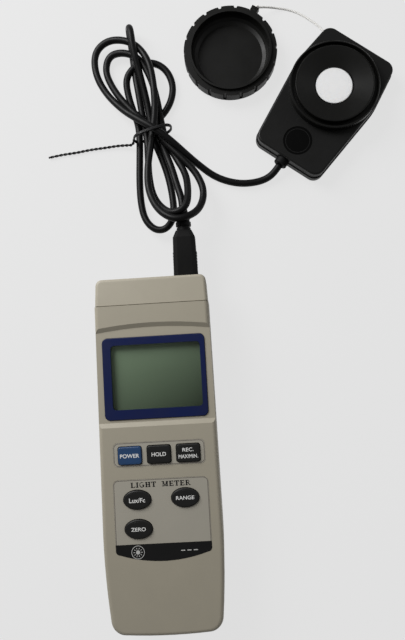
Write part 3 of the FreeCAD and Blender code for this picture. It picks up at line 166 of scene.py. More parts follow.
def add(tree, kind, inputs=None, **settings):
    """A node with its settings and inputs; an input that is a socket is linked."""
    item = tree.nodes.new(kind)
    for name, value in settings.items():
        setattr(item, name, value)
    for key, value in (inputs or {}).items():
        socket = item.inputs[key]
        if isinstance(value, bpy.types.NodeSocket):
            tree.links.new(value, socket)
        else:
            socket.default_value = value
    return item


def group_tree(name, inputs, outputs):
    """An empty shader group with named sockets."""
    tree = bpy.data.node_groups.new(name, "ShaderNodeTree")
    for label, kind, default in inputs:
        socket = tree.interface.new_socket(label, in_out="INPUT", socket_type=kind)
        if default is not None:
            socket.default_value = default
    for label, kind in outputs:
        tree.interface.new_socket(label, in_out="OUTPUT", socket_type=kind)
    return tree, tree.nodes.new("NodeGroupInput").outputs, tree.nodes.new("NodeGroupOutput").inputs


def moulded_grain():
    """Fine spark-eroded texture of a moulding: small pits on a slow swell."""
    tree, given, out = group_tree(
        "Moulded Grain",
        [("Vector", "NodeSocketVector", None), ("Scale", "NodeSocketFloat", 3000.0),
         ("Swell", "NodeSocketFloat", 0.25)],
        [("Height", "NodeSocketFloat")])
    pits = add(tree, "ShaderNodeTexNoise", {"Vector": given["Vector"], "Scale": given["Scale"],
                                            "Detail": 2.0, "Roughness": 0.6})
    slow = add(tree, "ShaderNodeTexNoise", {"Vector": given["Vector"], "Scale": 45.0, "Detail": 1.0})
    swell = add(tree, "ShaderNodeMath", {0: slow.outputs["Fac"], 1: given["Swell"]}, operation="MULTIPLY")
    total = add(tree, "ShaderNodeMath", {0: pits.outputs["Fac"], 1: swell.outputs[0]}, operation="ADD")
    tree.links.new(total.outputs[0], out["Height"])
    return tree


def handling_marks():
    """Where hands have polished a surface, and the fine scratches across it."""
    tree, given, out = group_tree(
        "Handling Marks",
        [("Vector", "NodeSocketVector", None), ("Scale", "NodeSocketFloat", 60.0),
         ("Scratches", "NodeSocketFloat", 0.5)],
        [("Mask", "NodeSocketFloat"), ("Scratch", "NodeSocketFloat")])
    cloud = add(tree, "ShaderNodeTexNoise", {"Vector": given["Vector"], "Scale": given["Scale"],
                                             "Detail": 4.0, "Roughness": 0.62})
    patch = add(tree, "ShaderNodeMapRange", {0: cloud.outputs["Fac"], 1: 0.38, 2: 0.68})
    tree.links.new(patch.outputs[0], out["Mask"])
    strands = []
    for turn, stretch in ((0.5, 40.0), (2.1, 55.0)):
        turned = add(tree, "ShaderNodeMapping", {"Vector": given["Vector"], "Rotation": (0, 0, turn)})
        way = add(tree, "ShaderNodeMapping", {"Vector": turned.outputs[0], "Scale": (1.0, stretch, 1.0)})
        noise = add(tree, "ShaderNodeTexNoise", {"Vector": way.outputs[0], "Scale": 130.0, "Detail": 2.0})
        thin = add(tree, "ShaderNodeMapRange", {0: noise.outputs["Fac"], 1: 0.70, 2: 0.72})
        strands.append(thin.outputs[0])
    both = add(tree, "ShaderNodeMath", {0: strands[0], 1: strands[1]}, operation="MAXIMUM")
    amount = add(tree, "ShaderNodeMath", {0: both.outputs[0], 1: given["Scratches"]}, operation="MULTIPLY")
    tree.links.new(amount.outputs[0], out["Scratch"])
    return tree


def twisted_strands():
    """Height of strands twisted round a line, from a UV map in metres along and turns round; the thread also
    uses it for painted shade in its furrows.
    """
    tree, given, out = group_tree(
        "Twisted Strands",
        [("UV", "NodeSocketVector", None), ("Lay", "NodeSocketFloat", 0.003),
         ("Count", "NodeSocketFloat", 3.0)],
        [("Height", "NodeSocketFloat")])
    parts = add(tree, "ShaderNodeSeparateXYZ", {0: given["UV"]})
    along = add(tree, "ShaderNodeMath", {0: parts.outputs[0], 1: given["Lay"]}, operation="DIVIDE")
    phase = add(tree, "ShaderNodeMath", {0: along.outputs[0], 1: parts.outputs[1]}, operation="ADD")
    turns = add(tree, "ShaderNodeMath", {0: phase.outputs[0], 1: given["Count"]}, operation="MULTIPLY")
    wave = add(tree, "ShaderNodeMath", {0: turns.outputs[0], 1: FULL_TURN / 2}, operation="MULTIPLY")
    sine = add(tree, "ShaderNodeMath", {0: wave.outputs[0]}, operation="SINE")
    size = add(tree, "ShaderNodeMath", {0: sine.outputs[0]}, operation="ABSOLUTE")
    tree.links.new(size.outputs[0], out["Height"])
    return tree


GROUPS = {}


def shared(name, maker):
    """A node group, built the first time it is asked for."""
    if name not in GROUPS:
        GROUPS[name] = maker()
    return GROUPS[name]


def surface(name, colour, roughness, **numbers):
    """A material with a Principled shader and its plain numbers."""
    material = bpy.data.materials.new(name)
    material.use_nodes = True
    tree = material.node_tree
    shader = tree.nodes["Principled BSDF"]
    shader.inputs["Base Color"].default_value = (*colour, 1)
    shader.inputs["Roughness"].default_value = roughness
    for key, value in numbers.items():
        shader.inputs[key.replace("_", " ").title().replace("Ior", "IOR")].default_value = value
    material.diffuse_color = (*colour, 1)
    return material, tree, shader


# finishes darker than this reflect less, as matt moulded and printed blacks do
DARK = 0.1
DULL_SHINE = 0.32


def worn(name, colour, roughness, grain=2600.0, relief=0.00002, polish=0.12, shade=0.06,
         scratches=0.35, marks=55.0, **numbers):
    """A moulded, printed or rubber finish: grain, polished patches and a few scratches."""
    if max(colour) < DARK:
        numbers.setdefault("specular_ior_level", DULL_SHINE)
    material, tree, shader = surface(name, colour, roughness, **numbers)
    place = add(tree, "ShaderNodeTexCoord").outputs["Object"]
    grains = add(tree, "ShaderNodeGroup", node_tree=shared("grain", moulded_grain))
    tree.links.new(place, grains.inputs["Vector"])
    grains.inputs["Scale"].default_value = grain
    wear = add(tree, "ShaderNodeGroup", node_tree=shared("marks", handling_marks))
    tree.links.new(place, wear.inputs["Vector"])
    wear.inputs["Scale"].default_value = marks
    wear.inputs["Scratches"].default_value = scratches
    bump = add(tree, "ShaderNodeBump", {"Height": grains.outputs[0], "Distance": relief, "Strength": 1.0})
    tree.links.new(bump.outputs[0], shader.inputs["Normal"])
    rough = add(tree, "ShaderNodeMapRange",
                {0: wear.outputs["Mask"], 3: roughness + polish / 2, 4: max(0.03, roughness - polish / 2)})
    tree.links.new(rough.outputs[0], shader.inputs["Roughness"])
    lighter = tuple(min(1.0, c * (1 + shade)) for c in colour)
    darker = tuple(c * (1 - shade) for c in colour)
    mixed = add(tree, "ShaderNodeMix", {"Factor": wear.outputs["Mask"], 6: (*darker, 1), 7: (*lighter, 1)},
                data_type="RGBA")
    scratch_colour = tuple(min(1.0, c * 1.08 + 0.008) for c in colour)
    final = add(tree, "ShaderNodeMix", {"Factor": wear.outputs["Scratch"], 6: mixed.outputs[2],
                                        7: (*scratch_colour, 1)}, data_type="RGBA")
    tree.links.new(final.outputs[2], shader.inputs["Base Color"])
    return material


def brushed(name, colour, roughness, along=(1, 60, 60)):
    """Metal with fine drawn lines."""
    material, tree, shader = surface(name, colour, roughness, metallic=1.0)
    place = add(tree, "ShaderNodeTexCoord").outputs["Object"]
    way = add(tree, "ShaderNodeMapping", {"Vector": place, "Scale": along})
    lines = add(tree, "ShaderNodeTexNoise", {"Vector": way.outputs[0], "Scale": 400.0, "Detail": 3.0})
    rough = add(tree, "ShaderNodeMapRange",
                {0: lines.outputs["Fac"], 3: roughness * 0.7, 4: roughness * 1.4})
    tree.links.new(rough.outputs[0], shader.inputs["Roughness"])
    bump = add(tree, "ShaderNodeBump", {"Height": lines.outputs["Fac"], "Distance": 0.000005})
    tree.links.new(bump.outputs[0], shader.inputs["Normal"])
    tone = add(tree, "ShaderNodeMix", {"Factor": lines.outputs["Fac"], 6: (*[c * 0.85 for c in colour], 1),
                                       7: (*colour, 1)}, data_type="RGBA")
    tree.links.new(tone.outputs[2], shader.inputs["Base Color"])
    return material


def wear_nodes(material, *names):
    """Puts a material on CAD nodes."""
    for name in names:
        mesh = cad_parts[name].data
        mesh.materials.clear()
        mesh.materials.append(material)


# ------------------------------------------------------------------ mesh building blocks

def piece(name, vertices, faces, material, body, uv=None):
    """A finished mesh object that rides on a body."""
    mesh = bpy.data.meshes.new(name)
    mesh.from_pydata([tuple(v) for v in vertices], [], faces)
    if uv is not None:
        layer = mesh.uv_layers.new(name="UVMap")
        for loop in mesh.loops:
            layer.data[loop.index].uv = uv[loop.vertex_index]
    return dress(bpy.data.objects.new(name, mesh), material, body)


def dress(item, material, body, smooth=True):
    """Links an object, gives it its material and its body."""
    if item.name not in bpy.context.scene.collection.objects:
        bpy.context.scene.collection.objects.link(item)
    item.data.materials.clear()
    item.data.materials.append(material)
    if smooth:
        item.data.shade_smooth()
    if body:
        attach(item, body)
    return item


def solid_from(name, loops, material, body, smooth=False):
    """A closed solid whose sections are loops of points, capped at both ends."""
    shape = bmesh.new()
    rings = [[shape.verts.new(p) for p in loop] for loop in loops]
    count = len(loops[0])
    for lower, upper in zip(rings, rings[1:]):
        for n in range(count):
            after = (n + 1) % count
            shape.faces.new((lower[n], lower[after], upper[after], upper[n]))
    shape.faces.new(rings[0][::-1])
    shape.faces.new(rings[-1])
    bmesh.ops.recalc_face_normals(shape, faces=shape.faces)
    mesh = bpy.data.meshes.new(name)
    shape.to_mesh(mesh)
    shape.free()
    return dress(bpy.data.objects.new(name, mesh), material, body, smooth)


def round_rectangle(wide, long, radius, steps=6):
    """Points of a rounded rectangle about the origin, anticlockwise."""
    points = []
    for quarter, (sx, sy) in enumerate(((1, 1), (-1, 1), (-1, -1), (1, -1))):
        for n in range(steps + 1):
            angle = FULL_TURN / 4 * (quarter + n / steps)
            points.append((sx * (wide / 2 - radius) + radius * math.cos(angle),
                           sy * (long / 2 - radius) + radius * math.sin(angle)))
    return points


def ellipse(wide, long, steps=40):
    return [(wide / 2 * math.cos(FULL_TURN * n / steps), long / 2 * math.sin(FULL_TURN * n / steps))
            for n in range(steps)]


def plate(name, outline, centre, low, high, material, body, edge=0.0):
    """A flat plate with an optional bevelled upper edge."""
    def ring(inset, z):
        loop = []
        for x, y in outline:
            reach = math.hypot(x, y)
            share = (reach - inset) / reach
            loop.append((centre[0] + x * share, centre[1] + y * share, z))
        return loop

    loops = [ring(0, low), ring(0, high - edge)]
    if edge:
        loops.append(ring(edge, high))
    return solid_from(name, loops, material, body)


def ribbon(name, points, width, low, high, material, body, closed=False):
    """A flat printed line of even width along a path in the plane."""
    mesh = ribbon_mesh(points, width, low, high, closed)
    mesh.name = name
    return dress(bpy.data.objects.new(name, mesh), material, body, smooth=False)


def ribbon_mesh(points, width, low, high, closed=False):
    flat = [Vector((x, y)) for x, y in points]
    count = len(flat)
    shape = bmesh.new()
    rings = []
    for n, point in enumerate(flat):
        before = flat[n - 1] if n or closed else point
        after = flat[(n + 1) % count] if n + 1 < count or closed else point
        way = (after - before).normalized()
        side = Vector((-way.y, way.x)) * width / 2
        left, right = point + side, point - side
        rings.append([shape.verts.new((p.x, p.y, z)) for p, z in
                      ((left, low), (right, low), (right, high), (left, high))])
    pairs = list(zip(rings, rings[1:])) + ([(rings[-1], rings[0])] if closed else [])
    for first, second in pairs:
        for n in range(4):
            after = (n + 1) % 4
            shape.faces.new((first[n], first[after], second[after], second[n]))
    if not closed:
        shape.faces.new(rings[0])
        shape.faces.new(rings[-1][::-1])
    bmesh.ops.recalc_face_normals(shape, faces=shape.faces)
    mesh = bpy.data.meshes.new("ribbon")
    shape.to_mesh(mesh)
    shape.free()
    return mesh


def lettering(name, words, centre, width, height, z, material, body, spread=1.0, bold=0.0):
    """Words as thin raised print, fitted to a width and a height."""
    text = bpy.data.curves.new(name + "_text", "FONT")
    text.body = words
    text.align_x = "CENTER"
    text.space_character = spread
    text.space_line = 0.85
    text.bevel_depth = bold
    text.bevel_resolution = 1
    text.extrude = 0.001
    holder = bpy.data.objects.new(name + "_text", text)
    bpy.context.scene.collection.objects.link(holder)
    seen = holder.evaluated_get(bpy.context.evaluated_depsgraph_get())
    mesh = bpy.data.meshes.new_from_object(seen)
    bpy.data.objects.remove(holder)
    places = np.array([v.co for v in mesh.vertices])
    low, high = places.min(0), places.max(0)
    scale = ((width / (high[0] - low[0])), (height / (high[1] - low[1])), 0.04 * MM / (high[2] - low[2]))
    mid = (low + high) / 2
    mesh.transform(Matrix.Diagonal((*scale, 1)) @ Matrix.Translation((-mid[0], -mid[1], 0)))
    mesh.transform(Matrix.Translation((centre[0], centre[1], z)))
    mesh.name = name
    return dress(bpy.data.objects.new(name, mesh), material, body, smooth=False)


def arc(x, y, wide, long, start, end, steps=10):
    """Points of an elliptical arc between two angles in degrees."""
    turns = [math.radians(start + (end - start) * n / steps) for n in range(steps + 1)]
    return [(x + wide * math.cos(a), y + long * math.sin(a)) for a in turns]


# stroke weights and half a serif, as shares of a letter's height
THICK, THIN, SERIF = 0.26, 0.12, 0.22


def stem(x, serif_at=(0, 1), weight=THICK):
    """An upright stroke of a roman letter with its serifs."""
    strokes = [([(x, 0), (x, 1)], weight)]
    for y in serif_at:
        level = THIN / 2 if y == 0 else 1 - THIN / 2
        strokes.append(([(x - SERIF, level), (x + SERIF, level)], THIN))
    return strokes


# strokes of each letter in a cell one high: points and weight, then the letter's width
ROMAN = {
    "L": (stem(0.20) + [([(0.2, 0.04), (0.78, 0.04)], THIN), ([(0.76, 0), (0.76, 0.3)], THIN)], 0.80),
    "I": (stem(0.20), 0.40),
    "G": ([(arc(0.46, 0.5, 0.40, 0.46, 50, 180, 12), 0.11), (arc(0.46, 0.5, 0.37, 0.46, 180, 320, 12), 0.15),
           ([(0.74, 0.06), (0.74, 0.46)], THICK), ([(0.54, 0.46), (0.92, 0.46)], THIN)], 0.92),
    "H": (stem(0.20) + stem(0.74) + [([(0.2, 0.5), (0.74, 0.5)], THIN)], 0.94),
    "T": (stem(0.42, (0,)) + [([(0.0, 0.96), (0.84, 0.96)], THIN), ([(0.04, 0.7), (0.04, 1)], THIN),
                              ([(0.80, 0.7), (0.80, 1)], THIN)], 0.84),
    "M": (stem(0.18, (0, 1), THIN) + stem(0.92) + [([(0.2, 0.96), (0.55, 0.05)], 0.17),
                                                   ([(0.55, 0.05), (0.88, 0.96)], THIN)], 1.12),
    "E": (stem(0.20) + [([(0.2, 0.04), (0.76, 0.04)], THIN), ([(0.2, 0.5), (0.58, 0.5)], THIN),
                        ([(0.2, 0.96), (0.74, 0.96)], THIN), ([(0.75, 0), (0.75, 0.28)], THIN),
                        ([(0.73, 0.74), (0.73, 1)], THIN), ([(0.57, 0.38), (0.57, 0.62)], THIN)], 0.80),
    "R": (stem(0.20) + [([(0.2, 0.96), *arc(0.48, 0.735, 0.20, 0.225, 90, -90), (0.2, 0.51)], 0.11),
                        ([(0.42, 0.5), (0.78, 0.04), (0.96, 0.04)], 0.16)], 0.94),
    " ": ([], 0.75),
}
LETTER_SPACE = 0.20


def roman_words(name, words, centre, width, height, low, high, material, body):
    """Bold roman capitals built from their strokes."""
    total = sum(ROMAN[letter][1] + LETTER_SPACE for letter in words) - LETTER_SPACE
    across = width / total
    left, foot = centre[0] - width / 2, centre[1] - height / 2
    strokes, x = [], 0.0
    for letter in words:
        drawn, wide = ROMAN[letter]
        for points, weight in drawn:
            places = [(left + (x + px) * across, foot + py * height) for px, py in points]
            strokes.append(ribbon_mesh(places, weight * across, low, high))
        x += wide + LETTER_SPACE
    shape = bmesh.new()
    for mesh in strokes:
        shape.from_mesh(mesh)
        bpy.data.meshes.remove(mesh)
    whole = bpy.data.meshes.new(name)
    shape.to_mesh(whole)
    shape.free()
    return dress(bpy.data.objects.new(name, whole), material, body, smooth=False)


def route_curve(name, points, resolution):
    """A NURBS curve whose control points are the route's points."""
    data = bpy.data.curves.new(name, "CURVE")
    data.dimensions = "3D"
    data.resolution_u = resolution
    line = data.splines.new("NURBS")
    line.points.add(len(points) - 1)
    for knot, place in zip(line.points, points):
        knot.co = (*place, 1)
    line.order_u = 3
    line.use_endpoint_u = True
    item = bpy.data.objects.new(name, data)
    bpy.context.scene.collection.objects.link(item)
    return item


def line_of(points, resolution=8):
    """The points along a route's own smooth line."""
    curve = route_curve("route", points, resolution)
    seen = curve.evaluated_get(bpy.context.evaluated_depsgraph_get())
    mesh = bpy.data.meshes.new_from_object(seen)
    line = [v.co.copy() for v in mesh.vertices]
    bpy.data.objects.remove(curve)
    bpy.data.meshes.remove(mesh)
    return [p for n, p in enumerate(line) if n == 0 or (p - line[n - 1]).length > 1e-7]


def tube(name, line, radius, material, body, sides=14, radius_at=None):
    """A round tube along a line, with a UV map in metres along it and turns round it."""
    count = len(line)
    ways = [(line[min(n + 1, count - 1)] - line[max(n - 1, 0)]).normalized() for n in range(count)]
    side = ways[0].orthogonal().normalized()
    vertices, uv, gone = [], [], 0.0
    for n, (point, way) in enumerate(zip(line, ways)):
        side = (side - way * side.dot(way)).normalized()
        other = way.cross(side)
        if n:
            gone += (point - line[n - 1]).length
        size = radius if radius_at is None else radius_at(gone)
        for k in range(sides + 1):
            angle = FULL_TURN * k / sides
            vertices.append(point + side * (math.cos(angle) * size) + other * (math.sin(angle) * size))
            uv.append((gone, k / sides))
    faces = []
    row = sides + 1
    for n in range(count - 1):
        for k in range(sides):
            start = n * row + k
            faces.append((start, start + 1, start + row + 1, start + row))
    faces.append(tuple(range(sides - 1, -1, -1)))
    faces.append(tuple((count - 1) * row + k for k in range(sides)))
    item = piece(name, vertices, faces, material, body, uv)
    shape = bmesh.new()
    shape.from_mesh(item.data)
    bmesh.ops.remove_doubles(shape, verts=shape.verts, dist=1e-7)
    bmesh.ops.recalc_face_normals(shape, faces=shape.faces)
    shape.to_mesh(item.data)
    shape.free()
    return item


def repeat_tree(name, kind):
    """Geometry Nodes that repeat a small bar in a row or round a ring."""
    tree = bpy.data.node_groups.new(name, "GeometryNodeTree")
    tree.interface.new_socket("Geometry", in_out="INPUT", socket_type="NodeSocketGeometry")
    for label, socket_kind in (("Count", "NodeSocketInt"), ("Bar Size", "NodeSocketVector"),
                               ("Centre", "NodeSocketVector"), ("Step", "NodeSocketVector"),
                               ("Radius", "NodeSocketFloat"), ("Finish", "NodeSocketMaterial")):
        tree.interface.new_socket(label, in_out="INPUT", socket_type=socket_kind)
    tree.interface.new_socket("Geometry", in_out="OUTPUT", socket_type="NodeSocketGeometry")
    given = tree.nodes.new("NodeGroupInput").outputs
    bar = add(tree, "GeometryNodeMeshCube", {"Size": given["Bar Size"]})
    if kind == "row":
        points = add(tree, "GeometryNodeMeshLine", {"Count": given["Count"], "Offset": given["Step"]})
        copies = add(tree, "GeometryNodeInstanceOnPoints",
                     {"Points": points.outputs[0], "Instance": bar.outputs[0]})
    else:
        points = add(tree, "GeometryNodeMeshCircle", {"Vertices": given["Count"], "Radius": given["Radius"]})
        number = add(tree, "GeometryNodeInputIndex")
        share = add(tree, "ShaderNodeMath", {0: number.outputs[0], 1: given["Count"]}, operation="DIVIDE")
        angle = add(tree, "ShaderNodeMath", {0: share.outputs[0], 1: FULL_TURN}, operation="MULTIPLY")
        turn = add(tree, "ShaderNodeCombineXYZ", {2: angle.outputs[0]})
        copies = add(tree, "GeometryNodeInstanceOnPoints",
                     {"Points": points.outputs[0], "Instance": bar.outputs[0], "Rotation": turn.outputs[0]})
    whole = add(tree, "GeometryNodeRealizeInstances", {0: copies.outputs[0]})
    moved = add(tree, "GeometryNodeTransform",
                {"Geometry": whole.outputs[0], "Translation": given["Centre"]})
    painted = add(tree, "GeometryNodeSetMaterial",
                  {"Geometry": moved.outputs[0], "Material": given["Finish"]})
    add(tree, "NodeGroupOutput", {0: painted.outputs[0]})
    return tree


def repeated(name, kind, body, material, count, bar, centre, step=(0, 0, 0), radius=0.0):
    """Runs the repeat tree once and keeps its result as a plain mesh."""
    tree = shared("repeat " + kind, lambda: repeat_tree("Repeat In A " + kind.title(), kind))
    holder = bpy.data.objects.new(name + "_rule", bpy.data.meshes.new(name + "_rule"))
    bpy.context.scene.collection.objects.link(holder)
    rule = holder.modifiers.new("Repeat", "NODES")
    rule.node_group = tree
    values = {"Count": count, "Bar Size": bar, "Centre": centre, "Step": step, "Radius": radius,
              "Finish": material}
    for socket in tree.interface.items_tree:
        if socket.in_out == "INPUT" and socket.name in values:
            rule[socket.identifier] = values[socket.name]
    seen = holder.evaluated_get(bpy.context.evaluated_depsgraph_get())
    mesh = bpy.data.meshes.new_from_object(seen)
    holder.modifiers.remove(rule)
    bpy.data.objects.remove(holder)
    mesh.name = name
    return dress(bpy.data.objects.new(name, mesh), material, body, smooth=False)


# ------------------------------------------------------------------ stage

def floor_material(shade):
    """Pale floor that keeps soft shadows and can be looked through from below."""
    material, tree, shader = surface("studio_floor", (shade, shade, shade), 0.9, specular_ior_level=0.0)
    rays = add(tree, "ShaderNodeLightPath").outputs
    seen = add(tree, "ShaderNodeMath", {0: rays["Is Camera Ray"], 1: rays["Is Glossy Ray"]},
               operation="MAXIMUM")
    share = add(tree, "ShaderNodeMath", {0: seen.outputs[0], 1: 0.90}, operation="MULTIPLY")
    glow = add(tree, "ShaderNodeEmission", {"Color": (shade, shade, shade, 1), "Strength": 1.0})
    pale = add(tree, "ShaderNodeMixShader", {0: share.outputs[0], 1: shader.outputs[0], 2: glow.outputs[0]})
    clear = add(tree, "ShaderNodeBsdfTransparent")
    back = add(tree, "ShaderNodeNewGeometry").outputs["Backfacing"]
    whole = add(tree, "ShaderNodeMixShader", {0: back, 1: pale.outputs[0], 2: clear.outputs[0]})
    tree.links.new(whole.outputs[0], tree.nodes["Material Output"].inputs["Surface"])
    return material


def lamp(name, power, size, place, aim, colour=(1, 1, 1)):
    data = bpy.data.lights.new(name, "AREA")
    data.energy = power
    data.shape = "RECTANGLE"
    data.size, data.size_y = size
    data.color = colour
    item = bpy.data.objects.new(name, data)
    item.location = place
    item.rotation_euler = (Vector(aim) - Vector(place)).to_track_quat("-Z", "Y").to_euler()
    bpy.context.scene.collection.objects.link(item)
    return item


CAMERA_PLACE = (0.0370, 0.0497, 0.3446)
CAMERA_TURN = (0.072, 0.031, -0.059)
CAMERA_LENS = 21.63
SENSOR_HEIGHT = 24.0


class LIGHTMETER_OT_stage(bpy.types.Operator):
    """Lays the floor, hangs the lamps and sets the camera"""

    bl_idname = "lightmeter.stage"
    bl_label = "Studio Stage"

    def execute(self, context):
        settings = context.scene.meter_stage
        reach = settings.floor_reach
        mesh = bpy.data.meshes.new("floor")
        corners = [(-reach, -reach, 0), (reach, -reach, 0), (reach, reach, 0), (-reach, reach, 0)]
        mesh.from_pydata(corners, [], [(0, 1, 2, 3)])
        floor = bpy.data.objects.new("floor", mesh)
        context.scene.collection.objects.link(floor)
        mesh.materials.append(floor_material(settings.floor_shade))

        low, high = CAD_BOX
        aim = ((low[0] + high[0]) / 2, (low[1] + high[1]) / 2, 0)
        lamp("key_lamp", settings.key_power, (0.34, 0.42), (aim[0] - 0.38, aim[1] + 0.42, 0.40), aim)
        lamp("fill_lamp", settings.fill_power, (0.4, 0.4), (aim[0] + 0.60, aim[1] + 0.30, 0.35), aim)

        world = bpy.data.worlds.new("studio")
        world.use_nodes = True
        back = world.node_tree.nodes["Background"]
        back.inputs["Color"].default_value = (1, 1, 1, 1)
        back.inputs["Strength"].default_value = settings.sky
        context.scene.world = world
        context.scene.view_settings.view_transform = "Standard"

        data = bpy.data.cameras.new("camera")
        data.sensor_fit = "VERTICAL"
        data.sensor_height = SENSOR_HEIGHT
        data.lens = CAMERA_LENS
        data.clip_start = 0.01
        camera = bpy.data.objects.new("camera", data)
        turn = Vector(CAMERA_TURN)
        camera.matrix_world = (Matrix.Translation(CAMERA_PLACE)
                               @ Matrix.Rotation(turn.length, 4, turn.normalized()))
        context.scene.collection.objects.link(camera)
        context.scene.camera = camera
        return {"FINISHED"}


# ------------------------------------------------------------------ case and display

class LIGHTMETER_OT_case(bpy.types.Operator):
    """Finishes the moulded case, its end block, stand and battery cover"""

    bl_idname = "lightmeter.case"
    bl_label = "Case"

    def execute(self, context):
        colours = context.scene.meter_case
        shell = worn("case_plastic", tuple(colours.shell), 0.50, grain=3200.0, relief=0.000025,
                     polish=0.10, shade=0.02, scratches=0.2)
        wear_nodes(shell, "front_shell", "rear_shell", "end_cap", "battery_cover")
        stand = worn("stand_plastic", tuple(c * 0.94 for c in colours.shell), 0.46, relief=0.000025,
                     shade=0.03, scratches=0.5)
        wear_nodes(stand, "stand")
        steel = brushed("screw_steel", (0.55, 0.55, 0.56), 0.34)
        wear_nodes(steel, "case_screws", "cover_screw", "board_screws", "sensor_screws")
        wear_nodes(brushed("tripod_brass", (0.78, 0.56, 0.25), 0.28), "tripod_nut")
        return {"FINISHED"}


def display_with_painted_reflection(light, dark):
    """Blank grey-green display with a painted reflection: its colour is lighter towards low x and high y and
    darker towards the opposite corner, with a little uneven tone across it.
    """
    material, tree, shader = surface("blank_display_painted_reflection", light, 0.26, specular_ior_level=0.35)
    low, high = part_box("display_window")
    place = add(tree, "ShaderNodeTexCoord").outputs["Object"]
    shift = add(tree, "ShaderNodeVectorMath", {0: place, 1: (low.x, low.y, 0)}, operation="SUBTRACT")
    parts = add(tree, "ShaderNodeSeparateXYZ", {0: shift.outputs[0]})
    # painted reflection: a slope of colour from light at low x and high y to dark at the opposite corner
    across = add(tree, "ShaderNodeMath", {0: parts.outputs[0], 1: -0.55 / (high.x - low.x)},
                 operation="MULTIPLY")
    along = add(tree, "ShaderNodeMath", {0: parts.outputs[1], 1: 0.75 / (high.y - low.y)},
                operation="MULTIPLY")
    total = add(tree, "ShaderNodeMath", {0: across.outputs[0], 1: along.outputs[0]}, operation="ADD")
    cloud = add(tree, "ShaderNodeTexNoise", {"Vector": place, "Scale": 26.0, "Detail": 1.0})
    drift = add(tree, "ShaderNodeMath", {0: cloud.outputs["Fac"], 1: 0.18}, operation="MULTIPLY")
    fac = add(tree, "ShaderNodeMath", {0: total.outputs[0], 1: drift.outputs[0]}, operation="ADD")
    ramp = add(tree, "ShaderNodeMapRange", {0: fac.outputs[0], 1: -0.42, 2: 0.80})
    mixed = add(tree, "ShaderNodeMix", {"Factor": ramp.outputs[0], 6: (*dark, 1), 7: (*light, 1)},
                data_type="RGBA")
    tree.links.new(mixed.outputs[2], shader.inputs["Base Color"])
    return material


class LIGHTMETER_OT_display(bpy.types.Operator):
    """Finishes the blue frame, the clear window and the display behind it"""

    bl_idname = "lightmeter.display"
    bl_label = "Display"

    def execute(self, context):
        colours = context.scene.meter_case
        bezel = worn("bezel_plastic", tuple(colours.bezel), 0.38, grain=2200.0, relief=0.000012,
                     polish=0.14, shade=0.10, scratches=0.3)
        wear_nodes(bezel, "display_bezel")
        pane, _, _ = surface("clear_window", (0.02, 0.025, 0.02), 0.05, alpha=0.12, ior=1.49)
        wear_nodes(pane, "display_window")
        glass = display_with_painted_reflection(tuple(colours.glass_painted_reflection), tuple(colours.glass_dark))
        wear_nodes(glass, "display_glass")
        frame_plastic = worn("inner_frame_plastic", (0.02, 0.02, 0.02), 0.5)
        wear_nodes(frame_plastic, "display_frame")
        strips = worn("contact_rubber", (0.36, 0.17, 0.20), 0.7, grain=900.0, relief=0.00003)
        wear_nodes(strips, "contact_strips")
        return {"FINISHED"}


# ------------------------------------------------------------------ labels and keys

INK = "printed_ink"


class LIGHTMETER_OT_labels(bpy.types.Operator):
    """Prints the key panel's lines, its title and the dark band"""

    bl_idname = "lightmeter.labels"
    bl_label = "Key Panel"

    def execute(self, context):
        colours = context.scene.meter_case
        film = worn("panel_film", tuple(colours.film), 0.42, grain=5000.0, relief=0.000008, shade=0.02,
                    scratches=0.2)
        wear_nodes(film, "upper_label", "lower_label")
        bold_ink = worn("title_ink", (0.006, 0.006, 0.007), 0.5, grain=6000.0, relief=0.000004, shade=0.05)
        band = worn("band_film", (0.0060, 0.0060, 0.0060), 0.36, grain=5000.0, relief=0.000006,
                    scratches=0.35)
        wear_nodes(band, "label_band")
        ink = worn(INK, tuple(colours.print_line), 0.5, grain=6000.0, relief=0.000004, shade=0.05)
        pale = worn("pale_ink", (0.52, 0.52, 0.50), 0.5, grain=6000.0, relief=0.000004, shade=0.03)
        height = context.scene.meter_case.print_thick
        line = 0.28 * MM

        inset = 0.4 * MM
        corner = 2.4 * MM
        low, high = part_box("upper_label")
        centre = middle("upper_label")
        around = round_rectangle(high.x - low.x - 2 * inset, high.y - low.y - 2 * inset, corner)
        ribbon("upper_label_line", [(centre.x + x, centre.y + y) for x, y in around], line, high.z,
               high.z + height, ink, "meter", closed=True)

        low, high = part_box("lower_label")
        centre = middle("lower_label")
        around = round_rectangle(high.x - low.x - 2 * inset, high.y - low.y - 2 * inset, corner)
        upper = [(centre.x + x, centre.y + y) for x, y in around if y > 0]
        path = [(upper[0][0], low.y), *upper, (upper[-1][0], low.y)]
        ribbon("lower_label_line", path, line, high.z, high.z + height, ink, "meter")

        roman_words("panel_title", "LIGHT METER", (middle("lower_label").x, high.y - 2.9 * MM), 32.2 * MM,
                    2.7 * MM, high.z, high.z + height, bold_ink, "meter")

        self.sun(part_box("label_band"), pale)
        return {"FINISHED"}

    def sun(self, box, pale):
        """A plain sun sign, for light."""
        low, high = box
        centre = (low.x + 11.8 * MM, (low.y + high.y) / 2 + 0.4 * MM)
        z = high.z
        thin = 0.03 * MM
        plate("sun_disc", ellipse(2.2 * MM, 2.2 * MM, 28), centre, z - thin, z + thin, pale, "meter")
        repeated("sun_rays", "ring", "meter", pale, 10, (0.8 * MM, 0.34 * MM, 2 * thin),
                 (centre[0], centre[1], z), radius=2.05 * MM)
        ring = [(centre[0] + x, centre[1] + y) for x, y in ellipse(6.8 * MM, 6.8 * MM, 48)]
        ribbon("sun_ring", ring, 0.3 * MM, z - thin, z + thin, pale, "meter", closed=True)
        repeated("band_dashes", "row", "meter", pale, 3, (2.2 * MM, 0.5 * MM, 2 * thin),
                 (high.x - 15.5 * MM, centre[1], z), step=(3.4 * MM, 0, 0))


